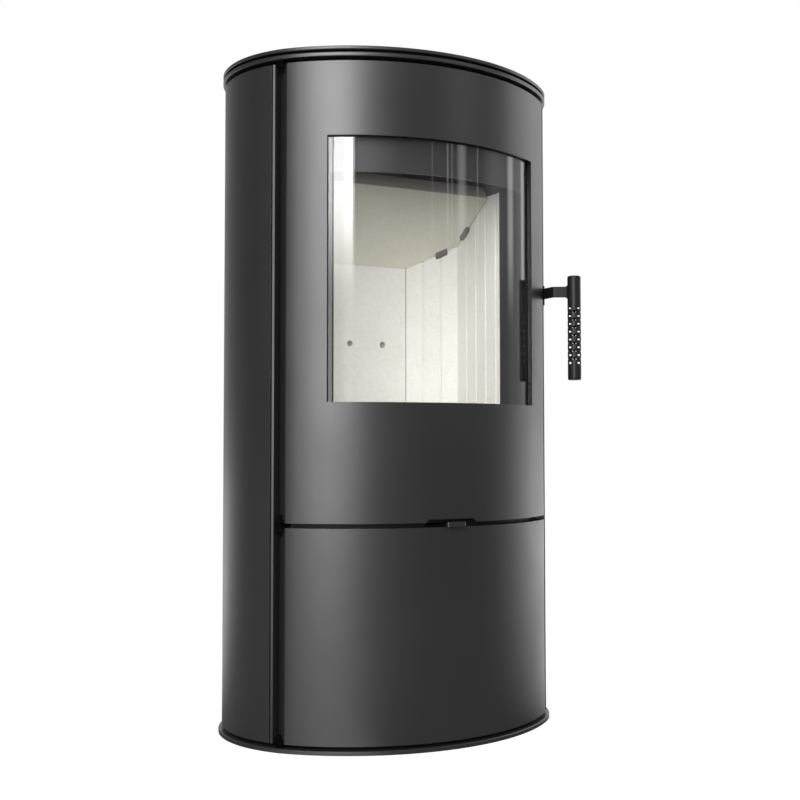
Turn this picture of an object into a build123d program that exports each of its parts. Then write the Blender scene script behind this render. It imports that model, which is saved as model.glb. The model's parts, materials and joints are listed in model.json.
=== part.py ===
from build123d import *
import os
from math import atan2, cos, degrees, radians, sin, sqrt, tan

os.makedirs("parts", exist_ok=True)

# A freestanding oval wood stove. Millimetres, +Z up, the door faces -Y.
# The origin is the centre of the oval on the floor.

# Plan of the body: an oval of four tangent arcs, the same in front and behind
body_half_width = 265.0
side_arc_radius = 159.0
front_arc_angle = 40.78

# Heights of the pieces and gaps that show from outside, from the floor up
plinth_thickness = 6.0
plinth_gap = 5.0
lower_door_height = 302.5
door_gap = 6.5
upper_door_height = 659.5
top_gap = 5.5
collar_thickness = 6.0
top_groove = 4.0
top_thickness = 5.0
plinth_overhang = 5.0
top_overhang = 3.3
rim_bevel = 0.8

# Doors: curved trays of folded sheet
door_edge_angle = 43.31
door_depth = 13.0
door_skin_thickness = 4.0
door_fold = 3.0
door_corner_radius = 2.0
window_side_margin = 47.2
window_bottom_margin = 171.6
window_top_margin = 107.5
notch_half_width = 42.0
notch_height = 5.0
glass_side_lap = 7.5
glass_lap = 10.0
glass_thickness = 4.0
gasket_thickness = 2.0
clip_thickness = 2.0
seal_side_margin = 24.7
seal_channel_width = 14.0
seal_channel_wall = 2.0
seal_channel_depth = 8.0
seal_end_gap = 11.0
rope_clearance = 0.4
hinge_opening_gap = 1.5

# Seam between the doors and the side panels, in degrees in front of the X axis
panel_edge_angle = 34.4
post_lip_angle = 34.9
post_wall_angle = 36.5
post_wall_width = 0.8
post_flange_angle = 46.0
post_lip_depth = 3.0
deck_edge_angle = 33.4
frame_edge_angle = 38.0

# Sheet and plate thicknesses of the casing and the firebox
panel_thickness = 2.0
panel_fold = 10.0
deck_thickness = 4.0
shelf_thickness = 3.0
post_flange_offset = 18.0
frame_offset = 20.0
frame_thickness = 5.0
shell_thickness = 4.0

# Hearth: walls of fluted firebrick board, seen through the window
hearth_side_gap = 121.0
hearth_rear_gap = 121.4
hearth_front_gap = 97.5
hearth_corner_width = 69.6
hearth_corner_depth = 51.7
lining_thickness = 28.0
side_board_height = 421.0
back_board_height = 337.0
flute_pitch = 28.9
flute_radius = 2.0
air_hole_spacing = 60.0
air_hole_rise = 161.0
air_hole_radius = 5.0
baffle_back_rise = 290.0
baffle_run = 146.0
baffle_rise = 100.0
baffle_thickness = 25.0
board_gap = 1.0

# Gaps between the levels inside
air_deck_drop = 10.0
ash_deck_gap = 12.0
ash_deck_thickness = 3.0
ash_room_height = 79.0
hearth_plate_thickness = 4.0
top_deck_drop = 8.5
roof_gap = 22.0

# Flue and room air
flue_from_back = 52.0
flue_radius = 74.5
flue_wall = 2.5
flue_reach = 35.0
flue_gap = 2.0
deck_flue_gap = 8.0
air_pipe_radius = 49.5
air_pipe_wall = 2.0
air_pipe_drop = 61.0
air_pipe_reach = 40.0
spigot_shoulder = 1.0

# Door hinges and the pins that they turn on, in the left seam
hinge_angle = 40.04
hinge_inset = 3.56
hinge_pin_radius = 2.5
hinge_tab_radius = 5.5
hinge_tab_thickness = 5.0
running_clearance = 0.05
bracket_thickness = 3.5

# Handle: a perforated tube on a flat bent arm that turns on an upright pin in the right seam
handle_angle = 39.455
handle_inset = 2.42
handle_rise = 350.5
handle_hub_radius = 4.5
handle_hub_height = 22.0
handle_pin_radius = 2.0
handle_lug_height = 4.2
handle_lug_gap = 0.3
arm_lift = 2.2
arm_height = 17.0
arm_thickness = 3.0
arm_run = 31.5
tube_out = 27.7
tube_forward = 48.5
tube_radius = 10.5
tube_wall = 1.5
tube_length = 165.0
tube_above_hub = 27.5
tube_cap = 5.0
tube_cap_round = 2.6
grip_start = 27.2
grip_ring_pitch = 12.4
grip_rings = 8
grip_large_radius = 2.6
grip_small_radius = 1.7
grip_turn = -59.0

# Air slider under the door, with its tab in the door's notch
slider_centre_x = 4.4
slider_half_width = 78.0
slider_travel = (-28.0, 20.0)
slider_front_gap = 50.4
slider_depth = 64.0
slider_thickness = 3.0
slider_slack = 0.1
tab_half_width = 15.2
tab_reach = 6.3
tab_clearance = 0.5
tab_height = 7.0
tab_corner = 2.5
neck_half = 8.0
air_slot_pitch = 72.0
air_slot_length = 30.0
air_slot_width = 22.0

# Places worked out from the sizes above
side_centre = body_half_width - side_arc_radius
blend = radians(front_arc_angle)
front_centre = side_centre / tan(blend)
front_arc_radius = side_arc_radius + side_centre / sin(blend)
body_half_depth = front_arc_radius - front_centre
far = 600.0

lower_door_bottom = plinth_thickness + plinth_gap
lower_door_top = lower_door_bottom + lower_door_height
upper_door_bottom = lower_door_top + door_gap
upper_door_top = upper_door_bottom + upper_door_height
collar_bottom = upper_door_top + top_gap
groove_bottom = collar_bottom + collar_thickness
top_plate_bottom = groove_bottom + top_groove
stove_top = top_plate_bottom + top_thickness
flue_height = stove_top + flue_reach

air_deck_top = upper_door_bottom - air_deck_drop
air_deck_bottom = air_deck_top - deck_thickness
ash_deck_bottom = air_deck_top + ash_deck_gap
ash_deck_top = ash_deck_bottom + ash_deck_thickness
hearth_plate_bottom = ash_deck_top + ash_room_height
hearth_plate_top = hearth_plate_bottom + hearth_plate_thickness
lining_floor_top = hearth_plate_top + lining_thickness
top_deck_bottom = upper_door_top - top_deck_drop
top_deck_top = top_deck_bottom + deck_thickness
roof_top = top_deck_bottom - roof_gap
roof_bottom = roof_top - deck_thickness
air_pipe_height = air_deck_bottom - air_pipe_drop
air_hole_height = lining_floor_top + air_hole_rise
baffle_back_height = lining_floor_top + baffle_back_rise

door_half_width = side_centre + side_arc_radius * cos(radians(door_edge_angle))
window_half_width = door_half_width - window_side_margin
window_bottom = upper_door_bottom + window_bottom_margin
window_top = upper_door_top - window_top_margin
glass_half_width = window_half_width + glass_side_lap
seal_half_width = door_half_width - seal_side_margin
frame_back = frame_offset + frame_thickness

hearth_half_width = body_half_width - hearth_side_gap
hearth_back_half = hearth_half_width - hearth_corner_width
hearth_back_y = body_half_depth - hearth_rear_gap
hearth_side_y = hearth_back_y - hearth_corner_depth
hearth_front_y = hearth_front_gap - body_half_depth
corner_slope = atan2(hearth_corner_depth, hearth_corner_width)
flue_y = hearth_back_y - flue_from_back

slider_bottom = air_deck_top + slider_slack
slider_top = slider_bottom + slider_thickness
slider_front_y = slider_front_gap - body_half_depth
slider_back_y = slider_front_y + slider_depth
tab_bottom = lower_door_top + tab_clearance
tab_top = tab_bottom + tab_height

hub_middle = upper_door_bottom + handle_rise
handle_hub_bottom = hub_middle - handle_hub_height / 2
handle_hub_top = hub_middle + handle_hub_height / 2
arm_bottom = hub_middle + arm_lift - arm_height / 2
tube_top = hub_middle + tube_above_hub
tube_bottom = tube_top - tube_length


def oval(offset=0.0, mode=Mode.ADD):
    """The body's plan moved outwards by an offset: four arcs that meet tangentially."""
    tip = 90 - front_arc_angle
    with BuildLine() as outline:
        CenterArc((side_centre, 0), side_arc_radius + offset, -tip, 2 * tip)
        CenterArc((0, -front_centre), front_arc_radius + offset, tip, 2 * front_arc_angle)
        CenterArc((-side_centre, 0), side_arc_radius + offset, 180 - tip, 2 * tip)
        CenterArc((0, front_centre), front_arc_radius + offset, 270 - front_arc_angle, 2 * front_arc_angle)
    make_face(outline.edges(), mode=mode)


def polygon(points, mode=Mode.ADD):
    """A closed face through the given corners."""
    with BuildLine() as outline:
        Polyline(*points, close=True)
    make_face(outline.edges(), mode=mode)


def ray(side, angle, reach=far):
    """A point on the ray that leaves a side arc's centre, angle degrees in front of the X axis."""
    across = side_centre + reach * cos(radians(angle))
    return (side * across, -reach * sin(radians(angle)))


hinge_x, hinge_y = ray(-1, hinge_angle, side_arc_radius - hinge_inset)
handle_pivot_x, handle_pivot_y = ray(1, handle_angle, side_arc_radius - handle_inset)
tube_x = handle_pivot_x + tube_out
tube_y = handle_pivot_y - tube_forward


def front_zone(angle, mode):
    """All that lies in front of the two rays at this angle."""
    corners = [(-side_centre, 0), ray(-1, angle), (-2 * far, -2 * far)]
    corners += [(2 * far, -2 * far), ray(1, angle), (side_centre, 0)]
    polygon(corners, mode)


def strip(outer, inner, x0, x1, bottom, top, mode=Mode.ADD, rear=False):
    """A stretch of the oval wall between two offsets, cut square at x0 and x1."""
    edge = Align.MIN if rear else Align.MAX
    with BuildSketch(Plane.XY.offset(bottom)) as profile:
        oval(outer)
        oval(inner, Mode.SUBTRACT)
        with Locations(((x0 + x1) / 2, 0)):
            Rectangle(x1 - x0, far, align=(Align.CENTER, edge), mode=Mode.INTERSECT)
    extrude(profile.sketch, amount=top - bottom, mode=mode)


def wedge(outer, inner, side, front_angle, rear_angle, bottom, top):
    """A stretch of the oval wall between two rays from a side arc's centre."""
    with BuildSketch(Plane.XY.offset(bottom)) as profile:
        oval(outer)
        oval(inner, Mode.SUBTRACT)
        polygon([(side * side_centre, 0), ray(side, front_angle), ray(side, rear_angle)], Mode.INTERSECT)
    extrude(profile.sketch, amount=top - bottom)


def hoop(outer, inner, bottom, top):
    """The whole oval wall between two offsets."""
    with BuildSketch(Plane.XY.offset(bottom)) as profile:
        oval(outer)
        oval(inner, Mode.SUBTRACT)
    extrude(profile.sketch, amount=top - bottom)


def plate(offset, bottom, top):
    """A flat oval plate."""
    with BuildSketch(Plane.XY.offset(bottom)) as profile:
        oval(offset)
    extrude(profile.sketch, amount=top - bottom)


def deck(bottom, top):
    """A deck that fills the casing: out to the panels at the sides, back to the frame in front."""
    with BuildSketch(Plane.XY.offset(bottom)) as profile:
        oval(-panel_thickness)
        front_zone(deck_edge_angle, Mode.SUBTRACT)
        oval(-frame_offset)
    extrude(profile.sketch, amount=top - bottom)


def bore(x, y, radius, bottom, top):
    """A round upright hole."""
    with Locations((x, y, bottom)):
        Cylinder(radius, top - bottom, align=(Align.CENTER, Align.CENTER, Align.MIN), mode=Mode.SUBTRACT)


def post(x, y, radius, bottom, top):
    """A round upright bar."""
    with Locations((x, y, bottom)):
        Cylinder(radius, top - bottom, align=(Align.CENTER, Align.CENTER, Align.MIN))


def block(x0, x1, y0, y1, z0, z1, mode=Mode.ADD):
    """A square block between two corners."""
    with Locations(((x0 + x1) / 2, (y0 + y1) / 2, (z0 + z1) / 2)):
        Box(x1 - x0, y1 - y0, z1 - z0, mode=mode)


def window(half_width, bottom, top, mode=Mode.SUBTRACT):
    """A square opening cut through the front along Y."""
    block(-half_width, half_width, -far, -side_centre / 2, bottom, top, mode)


def hearth_corners(grow):
    """The hearth's rear corners on the +X side, with its walls moved outwards by grow."""
    back = (hearth_back_half + grow * tan(corner_slope / 2), hearth_back_y + grow)
    side_y = hearth_side_y + grow * tan((radians(90) - corner_slope) / 2)
    return back, (hearth_half_width + grow, side_y)


def hearth_plan(grow, mode=Mode.ADD):
    """The hearth's plan with its three walls moved outwards by grow."""
    back, side = hearth_corners(grow)
    right = [(side[0], -far), side, back]
    left = [(-x, y) for x, y in reversed(right)]
    polygon(right + left, mode)


def front_y(offset, x):
    """Where the front arc at this offset stands at x."""
    return front_centre - sqrt((front_arc_radius + offset) ** 2 - x**2)


def save(name, part):
    """Label a finished piece and write it."""
    part.label = name
    export_step(part, f"parts/{name}.step")


# Plinth: the oval foot plate, its levelling screws and the set-back ring above it
screw_side_gap = 115.0
screw_end_gap = 103.4
screw_radius = 5.0
screw_length = 10.0
screw_hole_gap = 1.0
screw_x = body_half_width - screw_side_gap
screw_y = body_half_depth - screw_end_gap

with BuildPart() as base_plate:
    plate(plinth_overhang, 0, plinth_thickness)
    chamfer(base_plate.faces().sort_by(Axis.Z)[-1].edges(), rim_bevel)
    for x in (-screw_x, screw_x):
        for y in (-screw_y, screw_y):
            bore(x, y, screw_radius, 0, plinth_thickness)
save("base_plate", base_plate.part)

with BuildPart() as levelling_screws:
    with GridLocations(2 * screw_x, 2 * screw_y, 2, 2):
        Cylinder(screw_radius, screw_length, align=(Align.CENTER, Align.CENTER, Align.MIN))
    with BuildSketch(Plane.XY.offset(screw_length)):
        with GridLocations(2 * screw_x, 2 * screw_y, 2, 2):
            RegularPolygon(screw_radius / 2, 6)
    extrude(amount=-screw_length / 2, mode=Mode.SUBTRACT)
save("levelling_screws", levelling_screws.part)

ring_setback = 1.0
with BuildPart() as plinth_ring:
    hoop(-frame_offset - ring_setback, -frame_back, plinth_thickness, lower_door_bottom)
save("plinth_ring", plinth_ring.part)


def air_slots(shift, bottom, top):
    """The two air slots, moved along X by shift."""
    middle_y = (slider_front_y + slider_back_y) / 2
    for side in (-1, 1):
        x = slider_centre_x + shift + side * air_slot_pitch / 2
        block(x - air_slot_width / 2, x + air_slot_width / 2, middle_y - air_slot_length / 2,
              middle_y + air_slot_length / 2, bottom, top, Mode.SUBTRACT)


# Decks: the floor of the store, the air deck between the doors and the top deck
with BuildPart() as store_floor:
    deck(lower_door_bottom, lower_door_bottom + shelf_thickness)
    for x in (-screw_x, screw_x):
        for y in (-screw_y, screw_y):
            bore(x, y, screw_radius + screw_hole_gap, lower_door_bottom, lower_door_bottom + shelf_thickness)
save("store_floor", store_floor.part)

with BuildPart() as air_deck:
    deck(air_deck_bottom, air_deck_top)
    air_slots(0, air_deck_bottom, air_deck_top)
save("air_deck", air_deck.part)

with BuildPart() as top_deck:
    deck(top_deck_bottom, top_deck_top)
    bore(0, flue_y, flue_radius + deck_flue_gap, top_deck_bottom, top_deck_top)
save("top_deck", top_deck.part)

# Corner posts: a lip beside the side panel, a wall into the seam and a flange behind the doors
for side, name in ((-1, "corner_post_left"), (1, "corner_post_right")):
    with BuildPart() as corner_post:
        wedge(0, -post_lip_depth, side, post_wall_angle, post_lip_angle, lower_door_bottom, upper_door_top)
        wedge(0, -frame_offset, side, post_wall_angle, post_wall_angle - post_wall_width,
              lower_door_bottom, upper_door_top)
        wedge(-post_flange_offset, -frame_offset, side, post_flange_angle, post_wall_angle - post_wall_width,
              lower_door_bottom, upper_door_top)
    save(name, corner_post.part)

# Side panels: one bent sheet each, folded inwards along the seam
rear_gap = 1.0
for side, name in ((-1, "side_panel_left"), (1, "side_panel_right")):
    with BuildPart() as side_panel:
        with BuildSketch(Plane.XY.offset(lower_door_bottom)):
            oval()
            oval(-panel_thickness, Mode.SUBTRACT)
            edge = ray(side, panel_edge_angle)
            polygon([(side * side_centre, 0), edge, (side * 2 * far, edge[1]), (side * 2 * far, far),
                     (side * side_centre, far)], Mode.INTERSECT)
        extrude(amount=upper_door_top - lower_door_bottom)
        wedge(-panel_thickness / 2, -panel_fold, side, panel_edge_angle,
              panel_edge_angle - post_wall_width, lower_door_bottom, upper_door_top)
    save(name, side_panel.part)

# Back panel: two rows of louvre slots and the room-air hole
low_louvres = 6
high_louvres = 8
louvre_pitch = 14.0
louvre_height = 6.0
louvre_side_margin = 35.0
low_louvre_rise = 49.0
high_louvre_drop = 149.5
back_half_width = side_centre - rear_gap
louvre_half_width = back_half_width - louvre_side_margin
louvre_rows = ((lower_door_bottom + low_louvre_rise, low_louvres),
               (upper_door_top - high_louvre_drop, high_louvres))

with BuildPart() as back_panel:
    strip(0, -panel_thickness, -back_half_width, back_half_width, lower_door_bottom, upper_door_top,
          rear=True)
    for start, count in louvre_rows:
        for index in range(count):
            with BuildSketch(Plane.XZ.offset(-far)):
                with Locations((0, start + index * louvre_pitch)):
                    SlotOverall(2 * louvre_half_width, louvre_height)
            extrude(amount=far - body_half_depth / 2, mode=Mode.SUBTRACT)
    with BuildSketch(Plane.XZ.offset(-far)):
        with Locations((0, air_pipe_height)):
            Circle(air_pipe_radius + spigot_shoulder)
    extrude(amount=far - body_half_depth / 2, mode=Mode.SUBTRACT)
save("back_panel", back_panel.part)

# Firebox shell: bent side plates, back plate, roof and the curved front frame
slot_margin = 2.0
opening_margin = 4.0
pan_side_gap = 19.0
pan_half_width = hearth_half_width - pan_side_gap
ash_opening_side = 10.0
ash_opening_drop = 6.0
fire_opening_inset = 4.5
fire_opening_rise = 33.0
fire_opening_top = window_top + fire_opening_rise
slider_slot = (slider_centre_x + slider_travel[0] - neck_half - slot_margin,
               slider_centre_x + slider_travel[1] + neck_half + slot_margin,
               tab_bottom - slot_margin, tab_bottom + slider_thickness + slot_margin)

with BuildPart() as front_frame:
    with BuildSketch(Plane.XY.offset(air_deck_top)):
        oval(-frame_offset)
        oval(-frame_back, Mode.SUBTRACT)
        front_zone(frame_edge_angle, Mode.INTERSECT)
    extrude(amount=top_deck_bottom - air_deck_top)
    window(pan_half_width + ash_opening_side, ash_deck_top + opening_margin,
           hearth_plate_bottom - ash_opening_drop)
    window(window_half_width - fire_opening_inset, lining_floor_top + opening_margin, fire_opening_top)
    block(slider_slot[0], slider_slot[1], -far, -side_centre, slider_slot[2], slider_slot[3], Mode.SUBTRACT)
save("front_frame", front_frame.part)


def shell_wall(x0, x1, bottom, top):
    """A stretch of the shell's wall, as far forward as the front frame."""
    with BuildSketch(Plane.XY.offset(bottom)) as profile:
        hearth_plan(lining_thickness + shell_thickness)
        oval(-frame_back, Mode.INTERSECT)
        hearth_plan(lining_thickness, Mode.SUBTRACT)
        with Locations(((x0 + x1) / 2, 0)):
            Rectangle(x1 - x0, 2 * far, mode=Mode.INTERSECT)
    extrude(profile.sketch, amount=top - bottom)


shell_back_half = hearth_corners(lining_thickness)[0][0]
with BuildPart() as firebox_back:
    shell_wall(-shell_back_half, shell_back_half, air_deck_top, roof_bottom)
    for x in (-air_hole_spacing / 2, air_hole_spacing / 2):
        with BuildSketch(Plane.XZ.offset(-far)):
            with Locations((x, air_hole_height)):
                Circle(air_hole_radius)
        extrude(amount=far, mode=Mode.SUBTRACT)
save("firebox_back", firebox_back.part)

retainer_thickness = 3.0
for side, name in ((-1, "firebox_side_left"), (1, "firebox_side_right")):
    with BuildPart() as firebox_side:
        ends = sorted((side * shell_back_half, side * body_half_width))
        shell_wall(ends[0], ends[1], air_deck_top, roof_bottom)
        block(*sorted((side * hearth_half_width, side * (hearth_half_width + lining_thickness + 1))),
              hearth_front_y - retainer_thickness, hearth_front_y,
              hearth_plate_top, hearth_plate_top + side_board_height)
    save(name, firebox_side.part)

with BuildPart() as firebox_roof:
    with BuildSketch(Plane.XY.offset(roof_bottom)):
        hearth_plan(lining_thickness + shell_thickness)
        oval(-frame_back, Mode.INTERSECT)
    extrude(amount=deck_thickness)
    bore(0, flue_y, flue_radius, roof_bottom, roof_top)
save("firebox_roof", firebox_roof.part)

grate_side_margin = 44.0
grate_front_margin = 15.9
grate_half_width = hearth_half_width - grate_side_margin
grate_front_y = hearth_front_y + grate_front_margin
grate_back_y = hearth_side_y
grate_ledge = 14.0
grate_thickness = 12.0
grate_gap = 1.0

with BuildPart() as hearth_plate:
    with BuildSketch(Plane.XY.offset(hearth_plate_bottom)):
        hearth_plan(lining_thickness)
        oval(-frame_back, Mode.INTERSECT)
    extrude(amount=hearth_plate_thickness)
    block(-grate_half_width + grate_ledge, grate_half_width - grate_ledge, grate_front_y + grate_ledge,
          grate_back_y - grate_ledge, hearth_plate_bottom, hearth_plate_top, Mode.SUBTRACT)
save("hearth_plate", hearth_plate.part)

air_slot_half_width = 60.0
air_slot_depth = 25.0
air_slot_inset = 7.0
with BuildPart() as ash_deck:
    with BuildSketch(Plane.XY.offset(ash_deck_bottom)):
        hearth_plan(lining_thickness)
        oval(-frame_back, Mode.INTERSECT)
    extrude(amount=ash_deck_thickness)
    block(-air_slot_half_width, air_slot_half_width, hearth_back_y - air_slot_inset,
          hearth_back_y - air_slot_inset + air_slot_depth, ash_deck_bottom, ash_deck_top, Mode.SUBTRACT)
save("ash_deck", ash_deck.part)

# Lining: five upright boards with flutes, the slotted floor and the slanted baffle board
side_flutes = 4
floor_setback = 12.0
hopper_bevel = 10.0
inner_back, inner_side = hearth_corners(0)
outer_back, outer_side = hearth_corners(lining_thickness)

with BuildPart() as lining_back:
    with BuildSketch(Plane.XY.offset(hearth_plate_top)):
        corners = [(x - board_gap, y) for x, y in (inner_back, outer_back)]
        polygon(corners + [(-x, y) for x, y in reversed(corners)])
    extrude(amount=back_board_height)
    for x in (-air_hole_spacing / 2, air_hole_spacing / 2):
        with BuildSketch(Plane.XZ.offset(-far)):
            with Locations((x, air_hole_height)):
                Circle(air_hole_radius)
        extrude(amount=far, mode=Mode.SUBTRACT)
save("lining_back", lining_back.part)

for side, name in ((-1, "lining_corner_left"), (1, "lining_corner_right")):
    with BuildPart() as lining_corner:
        with BuildSketch(Plane.XY.offset(hearth_plate_top)):
            corners = [inner_back, outer_back, outer_side, inner_side]
            polygon([(side * x, y) for x, y in corners])
            for share in (1 / 3, 2 / 3):
                x = inner_back[0] + share * (inner_side[0] - inner_back[0])
                y = inner_back[1] + share * (inner_side[1] - inner_back[1])
                with Locations((side * x, y)):
                    Circle(flute_radius, mode=Mode.SUBTRACT)
        extrude(amount=side_board_height)
    save(name, lining_corner.part)

for side, name in ((-1, "lining_side_left"), (1, "lining_side_right")):
    with BuildPart() as lining_side:
        with BuildSketch(Plane.XY.offset(hearth_plate_top)):
            corners = [inner_side, outer_side, (outer_side[0], hearth_front_y)]
            corners += [(inner_side[0], hearth_front_y)]
            polygon([(side * x, y) for x, y in corners])
            for index in range(1, side_flutes + 1):
                with Locations((side * inner_side[0], inner_side[1] - index * flute_pitch)):
                    Circle(flute_radius, mode=Mode.SUBTRACT)
        extrude(amount=side_board_height)
    save(name, lining_side.part)

with BuildPart() as lining_floor:
    with BuildSketch(Plane.XY.offset(hearth_plate_top)):
        hearth_plan(0)
        oval(-frame_back - floor_setback, Mode.INTERSECT)
    extrude(amount=lining_thickness)
    block(-grate_half_width, grate_half_width, grate_front_y, grate_back_y,
          hearth_plate_top, lining_floor_top, Mode.SUBTRACT)
    hopper = lining_floor.faces().sort_by(Axis.Z)[-1].inner_wires()[0].edges()
    chamfer(hopper, hopper_bevel)
save("lining_floor", lining_floor.part)

baffle_slope = atan2(baffle_rise, baffle_run)


def baffle_layer(thickness):
    """A slanted slab on the baffle's underside, above it or, if negative, below it."""
    foot = (hearth_back_y, baffle_back_height)
    nose = (hearth_back_y - baffle_run, baffle_back_height + baffle_rise)
    lift = (thickness * sin(baffle_slope), thickness * cos(baffle_slope))
    with BuildSketch(Plane.YZ) as profile:
        polygon([foot, nose, (nose[0] + lift[0], nose[1] + lift[1]), (foot[0] + lift[0], foot[1] + lift[1])])
    extrude(profile.sketch, amount=far / 2, both=True)


with BuildPart() as baffle_board:
    baffle_layer(baffle_thickness)
    with BuildSketch(Plane.XY.offset(hearth_plate_top)):
        hearth_plan(-board_gap)
    extrude(amount=far, mode=Mode.INTERSECT)
save("baffle_board", baffle_board.part)

# Steel parts of the fire: baffle hooks, the air-wash plate, log guard, grate and ash pan
hook_reach = 7.0
hook_width = 19.0
hook_thickness = 5.0
corner_hook_share = 0.7
side_hook_inset = 29.2
side_hook_y = hearth_side_y - side_hook_inset

with BuildPart() as baffle_hooks:
    baffle_layer(-hook_thickness)
    with BuildSketch(Plane.XY.offset(hearth_plate_top)):
        for side in (-1, 1):
            with Locations((side * hearth_half_width, side_hook_y)):
                Rectangle(2 * hook_reach, hook_width)
            middle_x = side * (inner_back[0] + corner_hook_share * (inner_side[0] - inner_back[0]))
            middle_y = inner_back[1] + corner_hook_share * (inner_side[1] - inner_back[1])
            with Locations(Location((middle_x, middle_y), -side * degrees(corner_slope))):
                Rectangle(hook_width, 2 * hook_reach)
        hearth_plan(0, Mode.INTERSECT)
    extrude(amount=far, mode=Mode.INTERSECT)
save("baffle_hooks", baffle_hooks.part)

wash_offset = 16.0
wash_thickness = 2.0
wash_side_inset = 6.5
wash_half_width = window_half_width - wash_side_inset
wash_drop = 49.8
wash_lap = 3.0
wash_bottom = window_top - wash_drop
wash_top = fire_opening_top + wash_lap
with BuildPart() as air_wash_plate:
    strip(-wash_offset, -wash_offset - wash_thickness, -wash_half_width, wash_half_width,
          wash_bottom, wash_top)
    strip(-wash_offset, -frame_offset, -wash_half_width, wash_half_width, wash_top - wash_thickness, wash_top)
save("air_wash_plate", air_wash_plate.part)

guard_height = 62.0
guard_bar = 4.0
guard_slots = 9
guard_slot_length = 16.0
guard_slot_width = 7.0
with BuildPart() as log_guard:
    strip(-frame_back, -frame_back - guard_bar, -hearth_half_width, hearth_half_width,
          hearth_plate_top, hearth_plate_top + guard_height)
    with BuildSketch(Plane.XZ):
        with Locations((0, hearth_plate_top + guard_height - guard_slot_length)):
            with GridLocations(flute_pitch, 1, guard_slots, 1):
                SlotOverall(guard_slot_length, guard_slot_width, rotation=90)
    extrude(amount=far, mode=Mode.SUBTRACT)
save("log_guard", log_guard.part)

grate_slots = 11
grate_slot_width = 8.0
grate_slot_pitch = 15.0
with BuildPart() as grate:
    block(grate_gap - grate_half_width, grate_half_width - grate_gap, grate_front_y + grate_gap,
          grate_back_y - grate_gap,
          hearth_plate_top, hearth_plate_top + grate_thickness)
    slot_run = grate_back_y - grate_front_y - 2 * grate_ledge
    with BuildSketch(Plane.XY.offset(hearth_plate_top)):
        with Locations((0, (grate_front_y + grate_back_y) / 2)):
            with GridLocations(grate_slot_pitch, 1, grate_slots, 1):
                SlotOverall(slot_run, grate_slot_width, rotation=90)
    extrude(amount=grate_thickness, mode=Mode.SUBTRACT)
save("grate", grate.part)

pan_front_gap = 70.4
pan_back_gap = 15.0
pan_height = 60.0
pan_wall = 2.0
pan_corner = 8.0
pan_grip_half = 40.0
pan_grip_reach = 14.0
pan_grip_sheet = 3.0
pan_grip_drop = 15.0
pan_grip_rise = 46.0
pan_front_y = pan_front_gap - body_half_depth
pan_back_y = hearth_back_y - pan_back_gap
with BuildPart() as ash_pan:
    with BuildSketch(Plane.XY.offset(ash_deck_top)):
        with Locations((0, (pan_front_y + pan_back_y) / 2)):
            RectangleRounded(2 * pan_half_width, pan_back_y - pan_front_y, pan_corner)
    extrude(amount=pan_height)
    offset(amount=-pan_wall, openings=ash_pan.faces().sort_by(Axis.Z)[-1])
    with BuildSketch(Plane.YZ):
        with Locations((pan_front_y, ash_deck_top + pan_grip_rise)):
            Rectangle(pan_grip_reach, pan_grip_sheet, align=(Align.MAX, Align.MAX))
        with Locations((pan_front_y - pan_grip_reach, ash_deck_top + pan_grip_rise)):
            Rectangle(pan_grip_sheet, pan_grip_drop, align=(Align.MIN, Align.MAX))
    extrude(amount=pan_grip_half, both=True)
save("ash_pan", ash_pan.part)

# Top: riser, collar plate, spacer and top plate in a stack, and the flue spigot through them
riser_thickness = 4.0
riser_offset = frame_offset + 2.0
spacer_offset = 10.0
with BuildPart() as top_riser:
    hoop(-riser_offset, -riser_offset - riser_thickness, top_deck_top, collar_bottom)
save("top_riser", top_riser.part)

with BuildPart() as collar_plate:
    plate(top_overhang, collar_bottom, groove_bottom)
    chamfer(collar_plate.faces().filter_by(Axis.Z).edges(), rim_bevel)
    bore(0, flue_y, flue_radius + flue_gap, collar_bottom, groove_bottom)
save("collar_plate", collar_plate.part)

with BuildPart() as top_spacer:
    plate(-spacer_offset, groove_bottom, top_plate_bottom)
    bore(0, flue_y, flue_radius + flue_gap, groove_bottom, top_plate_bottom)
save("top_spacer", top_spacer.part)

with BuildPart() as top_plate:
    plate(top_overhang, top_plate_bottom, stove_top)
    chamfer(top_plate.faces().filter_by(Axis.Z).edges(), rim_bevel)
    bore(0, flue_y, flue_radius + flue_gap, top_plate_bottom, stove_top)
save("top_plate", top_plate.part)

flange_width = 13.0
flange_thickness = 3.0
flange_radius = flue_radius + flange_width
flange_top = roof_top + flange_thickness
shoulder_radius = flue_radius + spigot_shoulder
with BuildPart() as flue_spigot:
    with BuildSketch(Plane.XZ) as section:
        with BuildLine():
            Polyline((flue_radius - flue_wall, roof_bottom), (flue_radius, roof_bottom),
                     (flue_radius, roof_top), (flange_radius, roof_top),
                     (flange_radius, flange_top), (shoulder_radius, flange_top),
                     (shoulder_radius, stove_top), (flue_radius, stove_top),
                     (flue_radius, flue_height), (flue_radius - flue_wall, flue_height), close=True)
        make_face()
    revolve(axis=Axis.Z)
flue_spigot.part.position = (0, flue_y, 0)
save("flue_spigot", flue_spigot.part)

# Room air: a duct box from the back panel to the slots under the slider, and its spigot
duct_half_width = 72.0
duct_height = 36.0
duct_sump_depth = 54.0
duct_sump_margin = 8.0
duct_lap = 12.0
duct_back_gap = 14.4
duct_wall = 2.0
duct_front_y = slider_front_y + duct_lap
duct_back_y = body_half_depth - duct_back_gap
duct_step_y = duct_back_y - duct_sump_depth
duct_floor = air_deck_bottom - duct_height
duct_sump = air_pipe_height - air_pipe_radius - duct_sump_margin


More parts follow.
